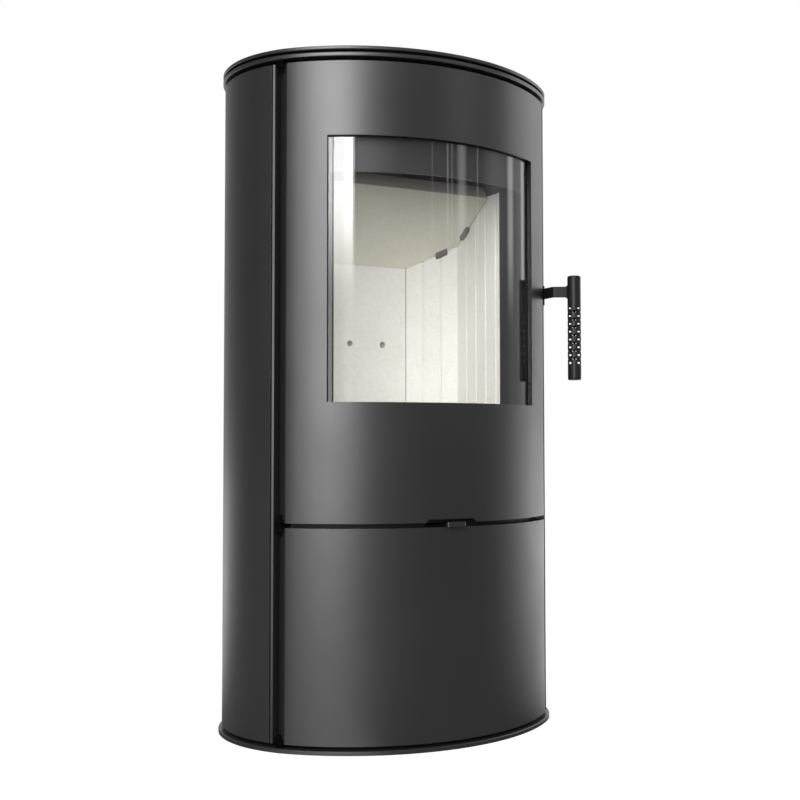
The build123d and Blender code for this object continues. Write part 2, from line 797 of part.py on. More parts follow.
def duct_section(wall):
    """The duct's side view with its walls moved inwards by wall: deep at the back, shallow in front."""
    front, back = duct_front_y + wall, duct_back_y - wall
    low, high = duct_sump + wall, duct_floor + wall
    polygon([(front, air_deck_bottom), (front, high), (duct_step_y + wall, high),
             (duct_step_y + wall, low), (back, low), (back, air_deck_bottom)])


with BuildPart() as air_duct:
    with BuildSketch(Plane.YZ):
        duct_section(0)
    extrude(amount=duct_half_width, both=True)
    with BuildSketch(Plane.YZ):
        duct_section(duct_wall)
    extrude(amount=duct_half_width - duct_wall, both=True, mode=Mode.SUBTRACT)
    with BuildSketch(Plane.XZ.offset(-duct_back_y)):
        with Locations((0, air_pipe_height)):
            Circle(air_pipe_radius + spigot_shoulder)
    extrude(amount=2 * duct_wall, mode=Mode.SUBTRACT)
save("air_duct", air_duct.part)

with BuildPart() as air_spigot:
    with BuildSketch(Plane.XZ.offset(-body_half_depth - air_pipe_reach)):
        with Locations((0, air_pipe_height)):
            Circle(air_pipe_radius)
    extrude(amount=air_pipe_reach)
    with BuildSketch(Plane.XZ.offset(-body_half_depth)):
        with Locations((0, air_pipe_height)):
            Circle(air_pipe_radius + spigot_shoulder)
    extrude(amount=body_half_depth - duct_back_y + duct_wall)
    with BuildSketch(Plane.XZ.offset(-body_half_depth - air_pipe_reach)):
        with Locations((0, air_pipe_height)):
            Circle(air_pipe_radius - air_pipe_wall)
    extrude(amount=far, mode=Mode.SUBTRACT)
save("air_spigot", air_spigot.part)

# Hinge brackets on the corner post, each with its upright pin welded in
bracket_levels = (plinth_thickness, lower_door_top + hinge_opening_gap, collar_bottom - bracket_thickness)
pin_reach = 12.0
bracket_edge_gap = 1.0
bracket_setback = frame_offset + bracket_edge_gap
bracket_angles = (37.5, 44.0)
bracket_taper = 2.0
pin_spans = ((plinth_thickness, lower_door_bottom + pin_reach),
             (lower_door_top - pin_reach, upper_door_bottom + pin_reach),
             (upper_door_top - pin_reach, collar_bottom))

with BuildPart() as hinge_brackets:
    for level in bracket_levels:
        with BuildSketch(Plane.XY.offset(level)):
            with Locations((hinge_x, hinge_y)):
                Circle(hinge_tab_radius)
            polygon([ray(-1, bracket_angles[0], side_arc_radius - hinge_inset),
                     ray(-1, bracket_angles[1] - bracket_taper, side_arc_radius - hinge_inset),
                     ray(-1, bracket_angles[1], side_arc_radius - bracket_setback),
                     ray(-1, bracket_angles[0], side_arc_radius - bracket_setback)])
            oval(-post_flange_offset, Mode.SUBTRACT)
        extrude(amount=bracket_thickness)
    for start, end in pin_spans:
        post(hinge_x, hinge_y, hinge_pin_radius, start, end)
save("hinge_brackets", hinge_brackets.part)


def hinge_tabs(levels):
    """Folded ears in the seam with the hinge bores, one at each end of a door."""
    for level in levels:
        with BuildSketch(Plane.XY.offset(level)) as profile:
            with Locations((hinge_x, hinge_y)):
                Circle(hinge_tab_radius)
            polygon([(hinge_x, hinge_y + hinge_tab_radius), (-door_half_width, hinge_y + hinge_tab_radius),
                     (-door_half_width, hinge_y - hinge_tab_radius), (hinge_x, hinge_y - hinge_tab_radius)])
            with Locations((-door_half_width, hinge_y)):
                Rectangle(20.0, 40.0, align=(Align.MIN, Align.CENTER), mode=Mode.SUBTRACT)
        extrude(profile.sketch, amount=hinge_tab_thickness)
    bore(hinge_x, hinge_y, hinge_pin_radius + running_clearance, 0, stove_top)


def door_tray(bottom, top, skin):
    """A curved door of folded sheet, open at the back."""
    strip(0, -door_depth, -door_half_width, door_half_width, bottom, top)
    inner = door_half_width - door_fold
    strip(-skin, -door_depth - 1, -inner, inner, bottom + door_fold, top - door_fold, Mode.SUBTRACT)


def corner_edges(part):
    """The upright outer corners where a door's front turns into the seam."""
    upright = part.edges().filter_by(Axis.Z)
    return upright.filter_by(lambda edge: abs(edge.center().X) > door_half_width - 0.1
                             and edge.center().Y < hinge_y - hinge_tab_radius)


# Upper door: skin, glass in its gasket, clips and the rope seal in its channel
with BuildPart() as door_skin:
    door_tray(upper_door_bottom, upper_door_top, door_skin_thickness)
    window(window_half_width, window_bottom, window_top)
    with BuildSketch(Plane.XZ):
        polygon([(-notch_half_width, upper_door_bottom), (-notch_half_width + notch_height,
                 upper_door_bottom + notch_height), (notch_half_width - notch_height,
                 upper_door_bottom + notch_height), (notch_half_width, upper_door_bottom)])
    extrude(amount=far, mode=Mode.SUBTRACT)
    fillet(corner_edges(door_skin), door_corner_radius)
save("door_skin", door_skin.part)

gasket_back = door_skin_thickness + gasket_thickness
glass_back = gasket_back + glass_thickness
glass_bottom = window_bottom - glass_lap
glass_top = window_top + glass_lap

with BuildPart() as glass_gasket:
    strip(-door_skin_thickness, -gasket_back, -glass_half_width, glass_half_width, glass_bottom, glass_top)
    window(window_half_width + 1, window_bottom - 1, window_top + 1)
save("glass_gasket", glass_gasket.part)

with BuildPart() as door_glass:
    strip(-gasket_back, -glass_back, -glass_half_width, glass_half_width, glass_bottom, glass_top)
save("door_glass", door_glass.part)

channel_back = door_skin_thickness + seal_channel_depth
channel_bottom = upper_door_bottom + seal_end_gap
channel_top = upper_door_top - seal_end_gap
inner_half = seal_half_width - seal_channel_width
rope_half = seal_half_width - seal_channel_wall
rope_inner_half = inner_half + seal_channel_wall

with BuildPart() as seal_channel:
    strip(-door_skin_thickness, -channel_back, -seal_half_width, seal_half_width, channel_bottom, channel_top)
    window(inner_half, channel_bottom + seal_channel_width, channel_top - seal_channel_width)
    with BuildPart(mode=Mode.PRIVATE) as groove:
        strip(-door_skin_thickness - seal_channel_wall, -channel_back - 1, -rope_half, rope_half,
              channel_bottom + seal_channel_wall, channel_top - seal_channel_wall)
        window(rope_inner_half, channel_bottom + seal_channel_width - seal_channel_wall,
               channel_top - seal_channel_width + seal_channel_wall)
    add(groove.part, mode=Mode.SUBTRACT)
save("seal_channel", seal_channel.part)

with BuildPart() as door_rope:
    strip(-door_skin_thickness - seal_channel_wall, -frame_offset + rope_clearance, -rope_half, rope_half,
          channel_bottom + seal_channel_wall, channel_top - seal_channel_wall)
    window(rope_inner_half, channel_bottom + seal_channel_width - seal_channel_wall,
           channel_top - seal_channel_width + seal_channel_wall)
save("door_rope", door_rope.part)

clip_end_margin = 28.7
window_middle = (window_bottom + window_top) / 2
clip_heights = (window_bottom + clip_end_margin, window_middle, window_top - clip_end_margin)
clip_half_height = 8.0
clip_inset = 1.0
clip_screw_inset = 5.5
clip_screw_radius = 3.0
clip_screw_height = 3.4
with BuildPart() as glass_clips:
    for side in (-1, 1):
        for height in clip_heights:
            ends = sorted((side * (window_half_width + clip_inset), side * inner_half))
            strip(-glass_back, -glass_back - clip_thickness, ends[0], ends[1],
                  height - clip_half_height, height + clip_half_height)
save("glass_clips", glass_clips.part)

with BuildPart() as clip_screws:
    for side in (-1, 1):
        for height in clip_heights:
            x = side * (window_half_width + clip_screw_inset)
            head = Plane((x, front_y(-glass_back - clip_thickness, x) - 0.4, height), z_dir=(0, 1, 0))
            with BuildSketch(head):
                Circle(clip_screw_radius)
            extrude(amount=clip_screw_height)
    strip(0, -glass_back - clip_thickness, -seal_half_width, seal_half_width, channel_bottom, channel_top,
          Mode.SUBTRACT)
save("clip_screws", clip_screws.part)

with BuildPart() as door_hinge_tabs:
    hinge_tabs((upper_door_bottom, upper_door_top - hinge_tab_thickness))
save("door_hinge_tabs", door_hinge_tabs.part)

lug_levels = (handle_hub_bottom - handle_lug_gap - handle_lug_height, handle_hub_top + handle_lug_gap)
with BuildPart() as handle_lugs:
    for level in lug_levels:
        with BuildSketch(Plane.XY.offset(level)):
            with Locations((handle_pivot_x, handle_pivot_y)):
                Circle(handle_hub_radius)
                Rectangle(2 * handle_hub_radius, 2 * handle_hub_radius, align=(Align.MAX, Align.CENTER))
            with Locations((door_half_width, handle_pivot_y)):
                Rectangle(20.0, 40.0, align=(Align.MAX, Align.CENTER), mode=Mode.SUBTRACT)
        extrude(amount=handle_lug_height)
    bore(handle_pivot_x, handle_pivot_y, handle_pin_radius, 0, stove_top)
save("handle_lugs", handle_lugs.part)

with BuildPart() as handle_pin:
    post(handle_pivot_x, handle_pivot_y, handle_pin_radius, lug_levels[0], lug_levels[1] + handle_lug_height)
save("handle_pin", handle_pin.part)

# Handle: hub with its latch nose, bent arm, perforated grip tube and its two caps
keeper_thickness = 1.0
keeper_width = 10.0
nose_gap = 0.5
nose_thickness = 3.0
arm_bend_radius = 4.0
nose_height = 10.0
nose_bottom = (handle_hub_bottom + handle_hub_top - nose_height) / 2
wall_normal = 90 - post_wall_angle
wall_slope = radians(post_wall_angle)
pivot_to_wall = -handle_pivot_y * cos(wall_slope) - (handle_pivot_x - side_centre) * sin(wall_slope)
pivot_along_wall = -handle_pivot_y * sin(wall_slope) + (handle_pivot_x - side_centre) * cos(wall_slope)
nose_reach = pivot_to_wall - keeper_thickness - nose_gap

with BuildPart() as handle_arm:
    post(handle_pivot_x, handle_pivot_y, handle_hub_radius, handle_hub_bottom, handle_hub_top)
    with BuildSketch(Plane.XY.offset(arm_bottom)):
        with BuildLine():
            FilletPolyline((handle_pivot_x, handle_pivot_y), (handle_pivot_x, handle_pivot_y - arm_run),
                           (tube_x, tube_y), radius=arm_bend_radius)
        trace(line_width=arm_thickness)
    extrude(amount=arm_height)
    with BuildSketch(Plane.XY.offset(nose_bottom)):
        with Locations(Location((handle_pivot_x, handle_pivot_y), wall_normal)):
            SlotOverall(2 * nose_reach, nose_thickness)
            Rectangle(nose_reach, nose_thickness, align=(Align.MAX, Align.CENTER), mode=Mode.SUBTRACT)
    extrude(amount=nose_height)
    bore(tube_x, tube_y, tube_radius, 0, stove_top)
    bore(handle_pivot_x, handle_pivot_y, handle_pin_radius + running_clearance, 0, stove_top)
save("handle_arm", handle_arm.part)

with BuildPart() as handle_tube:
    post(tube_x, tube_y, tube_radius, tube_bottom + tube_cap, tube_top - tube_cap)
    bore(tube_x, tube_y, tube_radius - tube_wall, tube_bottom + tube_cap, tube_top - tube_cap)
    for index in range(grip_rings):
        height = tube_bottom + grip_start + index * grip_ring_pitch
        for turn in (45.0, 135.0):
            drill = Plane((tube_x, tube_y, height)).rotated((90, 0, grip_turn + turn))
            with BuildSketch(drill):
                Circle(grip_large_radius)
            extrude(amount=2 * tube_radius, both=True, mode=Mode.SUBTRACT)
    for index in range(grip_rings - 1):
        height = tube_bottom + grip_start + (index + 0.5) * grip_ring_pitch
        for turn in (22.5, 67.5, 112.5, 157.5):
            drill = Plane((tube_x, tube_y, height)).rotated((90, 0, grip_turn + turn))
            with BuildSketch(drill):
                Circle(grip_small_radius)
            extrude(amount=2 * tube_radius, both=True, mode=Mode.SUBTRACT)
save("handle_tube", handle_tube.part)

with BuildPart() as handle_caps:
    for base, tip in ((tube_bottom + tube_cap, tube_bottom), (tube_top - tube_cap, tube_top)):
        post(tube_x, tube_y, tube_radius, min(base, tip), max(base, tip))
    ends = handle_caps.edges().group_by(Axis.Z)
    fillet(ends[0] + ends[-1], tube_cap_round)
save("handle_caps", handle_caps.part)

# Keeper plate on the right post, with a shallow groove opposite the latch nose
groove_radius = 2.1
groove_depth = 0.5
keeper_margin = 4.0
keeper_edge_gap = 0.2
keeper_edge = pivot_along_wall - (side_arc_radius - keeper_edge_gap)
with BuildPart() as latch_keeper:
    with BuildSketch(Plane.XY.offset(nose_bottom - keeper_margin)):
        with Locations(Location((handle_pivot_x, handle_pivot_y), wall_normal)):
            with Locations((pivot_to_wall, keeper_edge)):
                Rectangle(keeper_thickness, keeper_width, align=(Align.MAX, Align.MIN))
            with Locations((pivot_to_wall - keeper_thickness - groove_radius + groove_depth, 0)):
                Circle(groove_radius, mode=Mode.SUBTRACT)
    extrude(amount=nose_height + 2 * keeper_margin)
save("latch_keeper", latch_keeper.part)

# Lower door: plain skin, two stiffening channels, hinge ears and the magnet's catch plate
with BuildPart() as lower_door_skin:
    door_tray(lower_door_bottom, lower_door_top, door_fold)
    fillet(corner_edges(lower_door_skin), door_corner_radius)
save("lower_door_skin", lower_door_skin.part)

stiffener_x = 90.0
stiffener_half = 15.0
stiffener_wall = 1.5
stiffener_back = door_depth - 1.0
with BuildPart() as lower_door_stiffeners:
    for x in (-stiffener_x, stiffener_x):
        strip(-door_fold, -stiffener_back, x - stiffener_half, x + stiffener_half,
              lower_door_bottom + door_fold, lower_door_top - door_fold)
        strip(-door_fold, stiffener_wall - stiffener_back, x - stiffener_half + stiffener_wall,
              x + stiffener_half - stiffener_wall, lower_door_bottom, lower_door_top, Mode.SUBTRACT)
save("lower_door_stiffeners", lower_door_stiffeners.part)

with BuildPart() as lower_hinge_tabs:
    hinge_tabs((lower_door_bottom, lower_door_top - hinge_tab_thickness))
save("lower_hinge_tabs", lower_hinge_tabs.part)

catch_edge_margin = 7.7
catch_width = 11.0
catch_rise = 139.0
catch_height = 25.0
magnet_gap = 0.4
magnet_inset = 3.0
catch_x = door_half_width - catch_edge_margin
catch_bottom = lower_door_bottom + catch_rise
catch_face = post_flange_offset - magnet_inset
with BuildPart() as catch_plate:
    strip(-door_fold, -catch_face + magnet_gap, catch_x - catch_width, catch_x,
          catch_bottom, catch_bottom + catch_height)
save("catch_plate", catch_plate.part)

with BuildPart() as magnet_catch:
    strip(-catch_face, -post_flange_offset, catch_x - catch_width + magnet_inset, catch_x,
          catch_bottom, catch_bottom + catch_height)
save("magnet_catch", magnet_catch.part)

# Air slider: a slotted plate on the air deck, its stepped neck and the tab in the notch, and two rails
rail_lap = 6.0
rail_seat = 2.0
rail_half = 105.0
rail_height = 10.0
neck_gap = 1.0
neck_step = 4.0
neck_top = tab_bottom + slider_thickness

with BuildPart() as air_slider:
    block(slider_centre_x - slider_half_width, slider_centre_x + slider_half_width,
          slider_front_y, slider_back_y, slider_bottom, slider_top)
    air_slots(-slider_travel[1], slider_bottom, slider_top)
    block(slider_centre_x - neck_half, slider_centre_x + neck_half, slider_front_y,
          slider_front_y + neck_step, slider_bottom, neck_top)
    block(slider_centre_x - neck_half, slider_centre_x + neck_half, -body_half_depth - neck_gap,
          slider_front_y + neck_step, tab_bottom, neck_top)
    strip(tab_reach, neck_gap / 2, slider_centre_x - tab_half_width, slider_centre_x + tab_half_width,
          tab_bottom, tab_top)
    fillet(air_slider.edges().filter_by(Axis.Z).sort_by(Axis.Y)[:2], tab_corner)
save("air_slider", air_slider.part)

with BuildPart() as slider_rails:
    for edge, out in ((slider_front_y, -1), (slider_back_y, 1)):
        sides = sorted((edge - out * rail_lap, edge + out * rail_seat))
        block(slider_centre_x - rail_half, slider_centre_x + rail_half, sides[0], sides[1],
              air_deck_top, air_deck_top + rail_height)
    block(-far, far, slider_front_y - slider_slack, slider_back_y + slider_slack,
          air_deck_top, slider_top + slider_slack, Mode.SUBTRACT)
    block(slider_slot[0], slider_slot[1], -far, slider_front_y + rail_lap + 1,
          air_deck_top, neck_top + slider_slack, Mode.SUBTRACT)
save("slider_rails", slider_rails.part)

# Screws that hold the back panel
back_screw_margin = 13.0
back_screw_rows = 5
back_screw_radius = 4.0
back_screw_height = 3.0
back_screw_start = lower_door_bottom + low_louvre_rise
back_screw_pitch = (upper_door_top - low_louvre_rise - back_screw_start) / (back_screw_rows - 1)
back_screw_x = back_half_width - back_screw_margin
with BuildPart() as back_screws:
    for x in (-back_screw_x, back_screw_x):
        for index in range(back_screw_rows):
            height = back_screw_start + index * back_screw_pitch
            y = -front_y(0, x)
            with BuildSketch(Plane((x, y - 1.0, height), x_dir=(1, 0, 0), z_dir=(0, 1, 0))):
                Circle(back_screw_radius)
            extrude(amount=back_screw_height)
    strip(0, -side_arc_radius / 2, -back_half_width, back_half_width, 0, stove_top, Mode.SUBTRACT, rear=True)
save("back_screws", back_screws.part)
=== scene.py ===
# %% [markdown]
# # A freestanding wood stove, dressed for its portrait
#
# The steel, glass and boards of the stove come from the CAD model, which is the fixed frame of
# this scene. What Blender adds is the finish of each of them, the parts that CAD leaves plain (the
# braided door seal, the glass tape, the screw heads, the weld and the perforated grip of the
# handle), a studio and a camera. Everything is in metres, and the door faces -Y.

import json
from math import degrees, pi, radians

import bmesh
import bpy
import numpy as np
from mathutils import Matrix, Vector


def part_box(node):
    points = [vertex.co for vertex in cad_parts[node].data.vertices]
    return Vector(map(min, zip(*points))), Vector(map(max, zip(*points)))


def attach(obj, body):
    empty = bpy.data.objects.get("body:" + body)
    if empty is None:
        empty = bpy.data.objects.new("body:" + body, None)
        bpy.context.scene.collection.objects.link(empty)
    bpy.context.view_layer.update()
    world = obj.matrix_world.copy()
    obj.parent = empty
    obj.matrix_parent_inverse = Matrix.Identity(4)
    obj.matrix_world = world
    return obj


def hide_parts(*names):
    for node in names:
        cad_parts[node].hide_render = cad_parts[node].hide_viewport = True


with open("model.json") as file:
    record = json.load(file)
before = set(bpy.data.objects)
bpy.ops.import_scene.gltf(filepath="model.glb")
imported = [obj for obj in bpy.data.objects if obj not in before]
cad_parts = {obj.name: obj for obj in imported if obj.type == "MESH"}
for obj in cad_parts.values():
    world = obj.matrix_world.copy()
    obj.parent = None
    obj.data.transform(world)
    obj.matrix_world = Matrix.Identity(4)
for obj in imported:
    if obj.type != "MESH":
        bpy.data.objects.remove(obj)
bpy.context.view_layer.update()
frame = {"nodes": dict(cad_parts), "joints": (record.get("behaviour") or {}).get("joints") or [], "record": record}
nodes = frame["nodes"]

# %% [markdown]
# ## Smooth and sharp
#
# The CAD solids arrive as loose triangles, so a bent sheet would show its facets. Their points
# stay where they are. A finer mesh would hide the facets too, but that means a heavier CAD model.
# Two modifiers work on top instead: Weld joins the corners that share a place, and Edge Split
# opens them again wherever two faces meet at more than a set angle. With smooth shading on, a
# curved door then catches light as one sheet, and a cut edge stays crisp.

# %% Shade the sheet metal smooth between its edges
SHARP_ANGLE = radians(28)
SAME_PLACE = 2e-6


def shade_smooth(piece):
    """Switch smooth shading on for every face at once."""
    piece.data.polygons.foreach_set("use_smooth", np.ones(len(piece.data.polygons), bool))


def keep_edges(piece):
    """Shade an edge sharp where its two faces meet at more than the set angle."""
    split = piece.modifiers.new("keep edges", "EDGE_SPLIT")
    split.split_angle = SHARP_ANGLE
    split.use_edge_sharp = False


for node in nodes.values():
    shade_smooth(node)
    join = node.modifiers.new("join corners", "WELD")
    join.merge_threshold = SAME_PLACE
    keep_edges(node)
print("smoothed", len(nodes), "nodes")

# %% [markdown]
# ## A small kit for materials
#
# Every finish here is a Principled surface with patterns in front of it. Patterns read Object
# coordinates, which are plain metres on this stove, so a noise of scale 1000 has grains of about
# a millimetre wherever it is used. The node editor could draw the same trees by hand. Small
# helpers say the same in a line each: start a material, find a place, make a noise, map it to a
# range or to colours, do sums with it, turn it into a bump and blend two surfaces.

# %% Start a material with plain values on its own sockets
def new_finish(title, colour, roughness, metallic=0.0, specular=0.5):
    """A material with one Principled surface whose even values sit on its sockets."""
    material = bpy.data.materials.new(title)
    material.use_nodes = True
    shader = material.node_tree.nodes["Principled BSDF"]
    shader.inputs["Base Color"].default_value = (*colour, 1.0)
    shader.inputs["Roughness"].default_value = roughness
    shader.inputs["Metallic"].default_value = metallic
    shader.inputs["Specular IOR Level"].default_value = specular
    return material, shader


def place_on_piece(tree):
    """The place of each point on its piece, in metres."""
    return tree.nodes.new("ShaderNodeTexCoord").outputs["Object"]


def axes(tree, vector):
    """The X, Y and Z of a vector, each as an output of its own."""
    parts = tree.nodes.new("ShaderNodeSeparateXYZ")
    tree.links.new(vector, parts.inputs["Vector"])
    return parts.outputs


def grain(material, scale, detail=2.0, stretch=(1.0, 1.0, 1.0)):
    """A noise in metres on the piece: its value runs about 0.3 to 0.7."""
    tree = material.node_tree
    mapping = tree.nodes.new("ShaderNodeMapping")
    mapping.inputs["Scale"].default_value = stretch
    noise = tree.nodes.new("ShaderNodeTexNoise")
    noise.inputs["Scale"].default_value = scale
    noise.inputs["Detail"].default_value = detail
    tree.links.new(place_on_piece(tree), mapping.inputs["Vector"])
    tree.links.new(mapping.outputs["Vector"], noise.inputs["Vector"])
    return noise.outputs["Fac"]


# %% Turn a pattern into a range or a colour
def spread(tree, pattern, low=0.0, high=1.0, start=0.3, end=0.7, curve="LINEAR"):
    """Map start to end onto low to high, and hold beyond. A noise usually runs from 0.3 to 0.7."""
    reach = tree.nodes.new("ShaderNodeMapRange")
    reach.interpolation_type = curve
    for socket, number in zip(("From Min", "From Max", "To Min", "To Max"), (start, end, low, high)):
        reach.inputs[socket].default_value = number
    tree.links.new(pattern, reach.inputs["Value"])
    return reach.outputs["Result"]


def shades(tree, pattern, stops):
    """A colour ramp over a pattern: stops are (place, colour)."""
    ramp = tree.nodes.new("ShaderNodeValToRGB")
    tree.links.new(pattern, ramp.inputs["Fac"])
    while len(ramp.color_ramp.elements) < len(stops):
        ramp.color_ramp.elements.new(0.5)
    for element, (place, colour) in zip(ramp.color_ramp.elements, stops):
        element.position = place
        element.color = (*colour, 1.0)
    return ramp.outputs["Color"]


# %% Sums, bumps and blends
def maths(tree, operation, *values):
    """One maths node over links or plain numbers."""
    node = tree.nodes.new("ShaderNodeMath")
    node.operation = operation
    for socket, value in zip(node.inputs, values):
        if isinstance(value, float):
            socket.default_value = value
        else:
            tree.links.new(value, socket)
    return node.outputs["Value"]


def bump(material, shader, height, depth, edge=0.0):
    """Tilt the surface by a pattern that is depth metres high, over edges rounded by edge metres."""
    tree = material.node_tree
    relief = tree.nodes.new("ShaderNodeBump")
    relief.inputs["Distance"].default_value = depth
    tree.links.new(height, relief.inputs["Height"])
    if edge > 0.0:
        rounding = tree.nodes.new("ShaderNodeBevel")
        rounding.samples = 6
        rounding.inputs["Radius"].default_value = edge
        tree.links.new(rounding.outputs["Normal"], relief.inputs["Normal"])
    tree.links.new(relief.outputs["Normal"], shader.inputs["Normal"])


def blend_surfaces(tree, share, first, second):
    """Show the first shader where the share is 0 and the second where it is 1."""
    blend = tree.nodes.new("ShaderNodeMixShader")
    for socket, value in zip(blend.inputs, (share, first, second)):
        tree.links.new(value, socket)
    tree.links.new(blend.outputs["Shader"], tree.nodes["Material Output"].inputs["Surface"])


# %% [markdown]
# ## Satin anthracite paint
#
# The doors, the sides and the two top plates wear a heat-proof powder paint: almost black, with a
# satin shine that spreads a lamp into a soft upright band. Up close the coat has a fine orange
# peel, and its shine wanders a little from place to place. Real bevels would need new meshes for
# every sheet. The Bevel node rounds the cut edges by half a millimetre in the shading alone, which
# draws the thin bright lines along the seams.

# %% Paint for the outside
satin_paint, shader = new_finish("satin anthracite paint", (0.015, 0.015, 0.0156),
                                 roughness=0.36, specular=1.0)
peel = grain(satin_paint, scale=900.0, detail=3.0)
clouds = grain(satin_paint, scale=9.0, detail=3.0)
tree = satin_paint.node_tree
tree.links.new(spread(tree, clouds, 0.34, 0.39), shader.inputs["Roughness"])
bump(satin_paint, shader, peel, depth=0.00003, edge=0.0006)
print("made", satin_paint.name)

# %% [markdown]
# ## Black steel
#
# Decks, frames and brackets inside get the same heat-proof black, sprayed thinner and flatter.
# The handle is the same black with a little more shine, since hands polish it, and its arm is a shade darker. The
# hinges are painted near black and mirror almost nothing: painted shade that keeps the seams dark. One black for
# all of these would be simpler, but the handle would lose its highlight.

# %% Blacks for the inside, the handle, its arm and the hinges
black_steel, shader = new_finish("flat black steel", (0.01, 0.01, 0.01), roughness=0.5, specular=0.3)
bump(black_steel, shader, grain(black_steel, scale=1100.0, detail=3.0), depth=0.00004, edge=0.0004)
handle_black, shader = new_finish("satin black handle", (0.012, 0.012, 0.0125), roughness=0.38, specular=0.34)
bump(handle_black, shader, grain(handle_black, scale=1400.0, detail=2.0), depth=0.000006, edge=0.0003)
arm_black, shader = new_finish("satin black arm", (0.008, 0.008, 0.0082), roughness=0.4, specular=0.28)
bump(arm_black, shader, grain(arm_black, scale=900.0, detail=3.0), depth=0.00002, edge=0.0003)
# Painted shade: the hinges are near black with almost no shine, so they stay as dark as the seams they sit in.
hinge_black, shader = new_finish("near-black hinge steel as painted shade", (0.002, 0.002, 0.002), roughness=0.8, specular=0.04)
bump(hinge_black, shader, grain(hinge_black, scale=1100.0, detail=3.0), depth=0.00004)
print("made", black_steel.name, handle_black.name, arm_black.name, "and", hinge_black.name)

# %% [markdown]
# The posts beside the doors wear the outside paint, but the lip of each, where the side sheet closes on it,
# carries a painted highlight that is brightest near the top and fades towards the floor, and next to the side
# sheet it keeps a dark painted shade line. A painted texture would need a flat map of the post. But the lip is
# simply the part that lies furthest from the centre line of the body's end arc, so the distance from that line and
# the turn about it tell lip from wall.

# %% Paint with a painted highlight on the lip
BODY_HALF_WIDTH, END_RADIUS = 0.265, 0.159
END_CENTRE = BODY_HALF_WIDTH - END_RADIUS
LIP_DEPTH, LIP_FRONT = 0.0017, radians(54.6)
lip_highlight_finish, shader = new_finish("paint with a painted highlight on the lip", (0.02, 0.02, 0.0207), roughness=0.36, specular=0.5)
tree = lip_highlight_finish.node_tree
place = axes(tree, place_on_piece(tree))
beside = maths(tree, "SUBTRACT", maths(tree, "ABSOLUTE", place["X"]), END_CENTRE)
from_centre = maths(tree, "SQRT", maths(tree, "ADD", maths(tree, "POWER", beside, 2.0),
                                        maths(tree, "POWER", place["Y"], 2.0)))
millimetres_out = maths(tree, "MULTIPLY_ADD", from_centre, 1000.0, -1000.0 * (END_RADIUS - LIP_DEPTH))
turned = maths(tree, "ARCTAN2", beside, maths(tree, "MULTIPLY", place["Y"], -1.0))
# Past LIP_FRONT the lip keeps the dark wall colour: a painted shade line along the gap to the side sheet.
on_lip = maths(tree, "MULTIPLY", millimetres_out, maths(tree, "LESS_THAN", turned, LIP_FRONT))
# Painted highlight: the lip grows paler towards the top, standing in for the softbox's reflection that fades
# towards the floor.
painted_lip_light = maths(tree, "MULTIPLY", on_lip, maths(tree, "MULTIPLY_ADD", place["Z"], 0.9, 0.08))
lip_light_tints = [(0.05, (0.012, 0.012, 0.0125)), (0.9, (0.13, 0.13, 0.132))]
tree.links.new(shades(tree, painted_lip_light, lip_light_tints), shader.inputs["Base Color"])
bump(lip_highlight_finish, shader, grain(lip_highlight_finish, scale=900.0, detail=3.0), depth=0.00003, edge=0.0004)
print("made", lip_highlight_finish.name)

# %% [markdown]
# ## Bare, plated and heat-darkened steel
#
# Screws, the catch and the ash pan are zinc-plated: pale grey metal with a faint brushed drift.
# The glass clips and the log guard, which live beside the fire, have lost that colour and gone
# brown-black. The shell behind the boards and the baffle's hooks keep the grey scale of bare
# sheet. All three are one surface with a slow noise on it, since none shows a pattern of its own.

# %% Plated, fired and scaled steel
plated_steel, shader = new_finish("plated steel", (0.52, 0.53, 0.54), roughness=0.34, metallic=1.0)
tree = plated_steel.node_tree
drift = grain(plated_steel, scale=60.0, detail=4.0, stretch=(1.0, 1.0, 14.0))
tree.links.new(spread(tree, drift, 0.28, 0.42), shader.inputs["Roughness"])
bump(plated_steel, shader, drift, depth=0.00002, edge=0.0003)


def clouded_steel(title, colour, roughness, cloud_scale, cloud_tints, **levels):
    """Steel whose colour drifts between two tints, under a fine bumpy skin."""
    steel, shader = new_finish(title, colour, roughness, **levels)
    tree = steel.node_tree
    clouds = shades(tree, grain(steel, scale=cloud_scale, detail=4.0), cloud_tints)
    tree.links.new(clouds, shader.inputs["Base Color"])
    bump(steel, shader, grain(steel, scale=700.0, detail=3.0), depth=0.00004, edge=0.0003)
    return steel


fired_steel = clouded_steel(
    "fired steel", (0.045, 0.04, 0.036), roughness=0.5, metallic=0.6, cloud_scale=45.0,
    cloud_tints=[(0.3, (0.03, 0.028, 0.026)), (0.7, (0.075, 0.062, 0.052))])
shell_steel = clouded_steel(
    "scaled shell steel", (0.14, 0.13, 0.12), roughness=0.6, specular=0.3, cloud_scale=30.0,
    cloud_tints=[(0.3, (0.125, 0.118, 0.11)), (0.7, (0.155, 0.146, 0.136))])
print("made", plated_steel.name, fired_steel.name, "and", shell_steel.name)

# %% [markdown]
# ## Cast iron
#
# The grate is cast in sand, so its skin is a field of soft pits, darker and drier than paint.
# Displacing the mesh would take a hundred times its faces. The pits are a quarter of a millimetre
# deep and nothing shows their outline, so a bump is enough.

# %% Cast iron for the grate
cast_iron, shader = new_finish("cast iron", (0.03, 0.029, 0.028), roughness=0.68)
bump(cast_iron, shader, grain(cast_iron, scale=520.0, detail=5.0), depth=0.00025, edge=0.0006)
print("made", cast_iron.name)

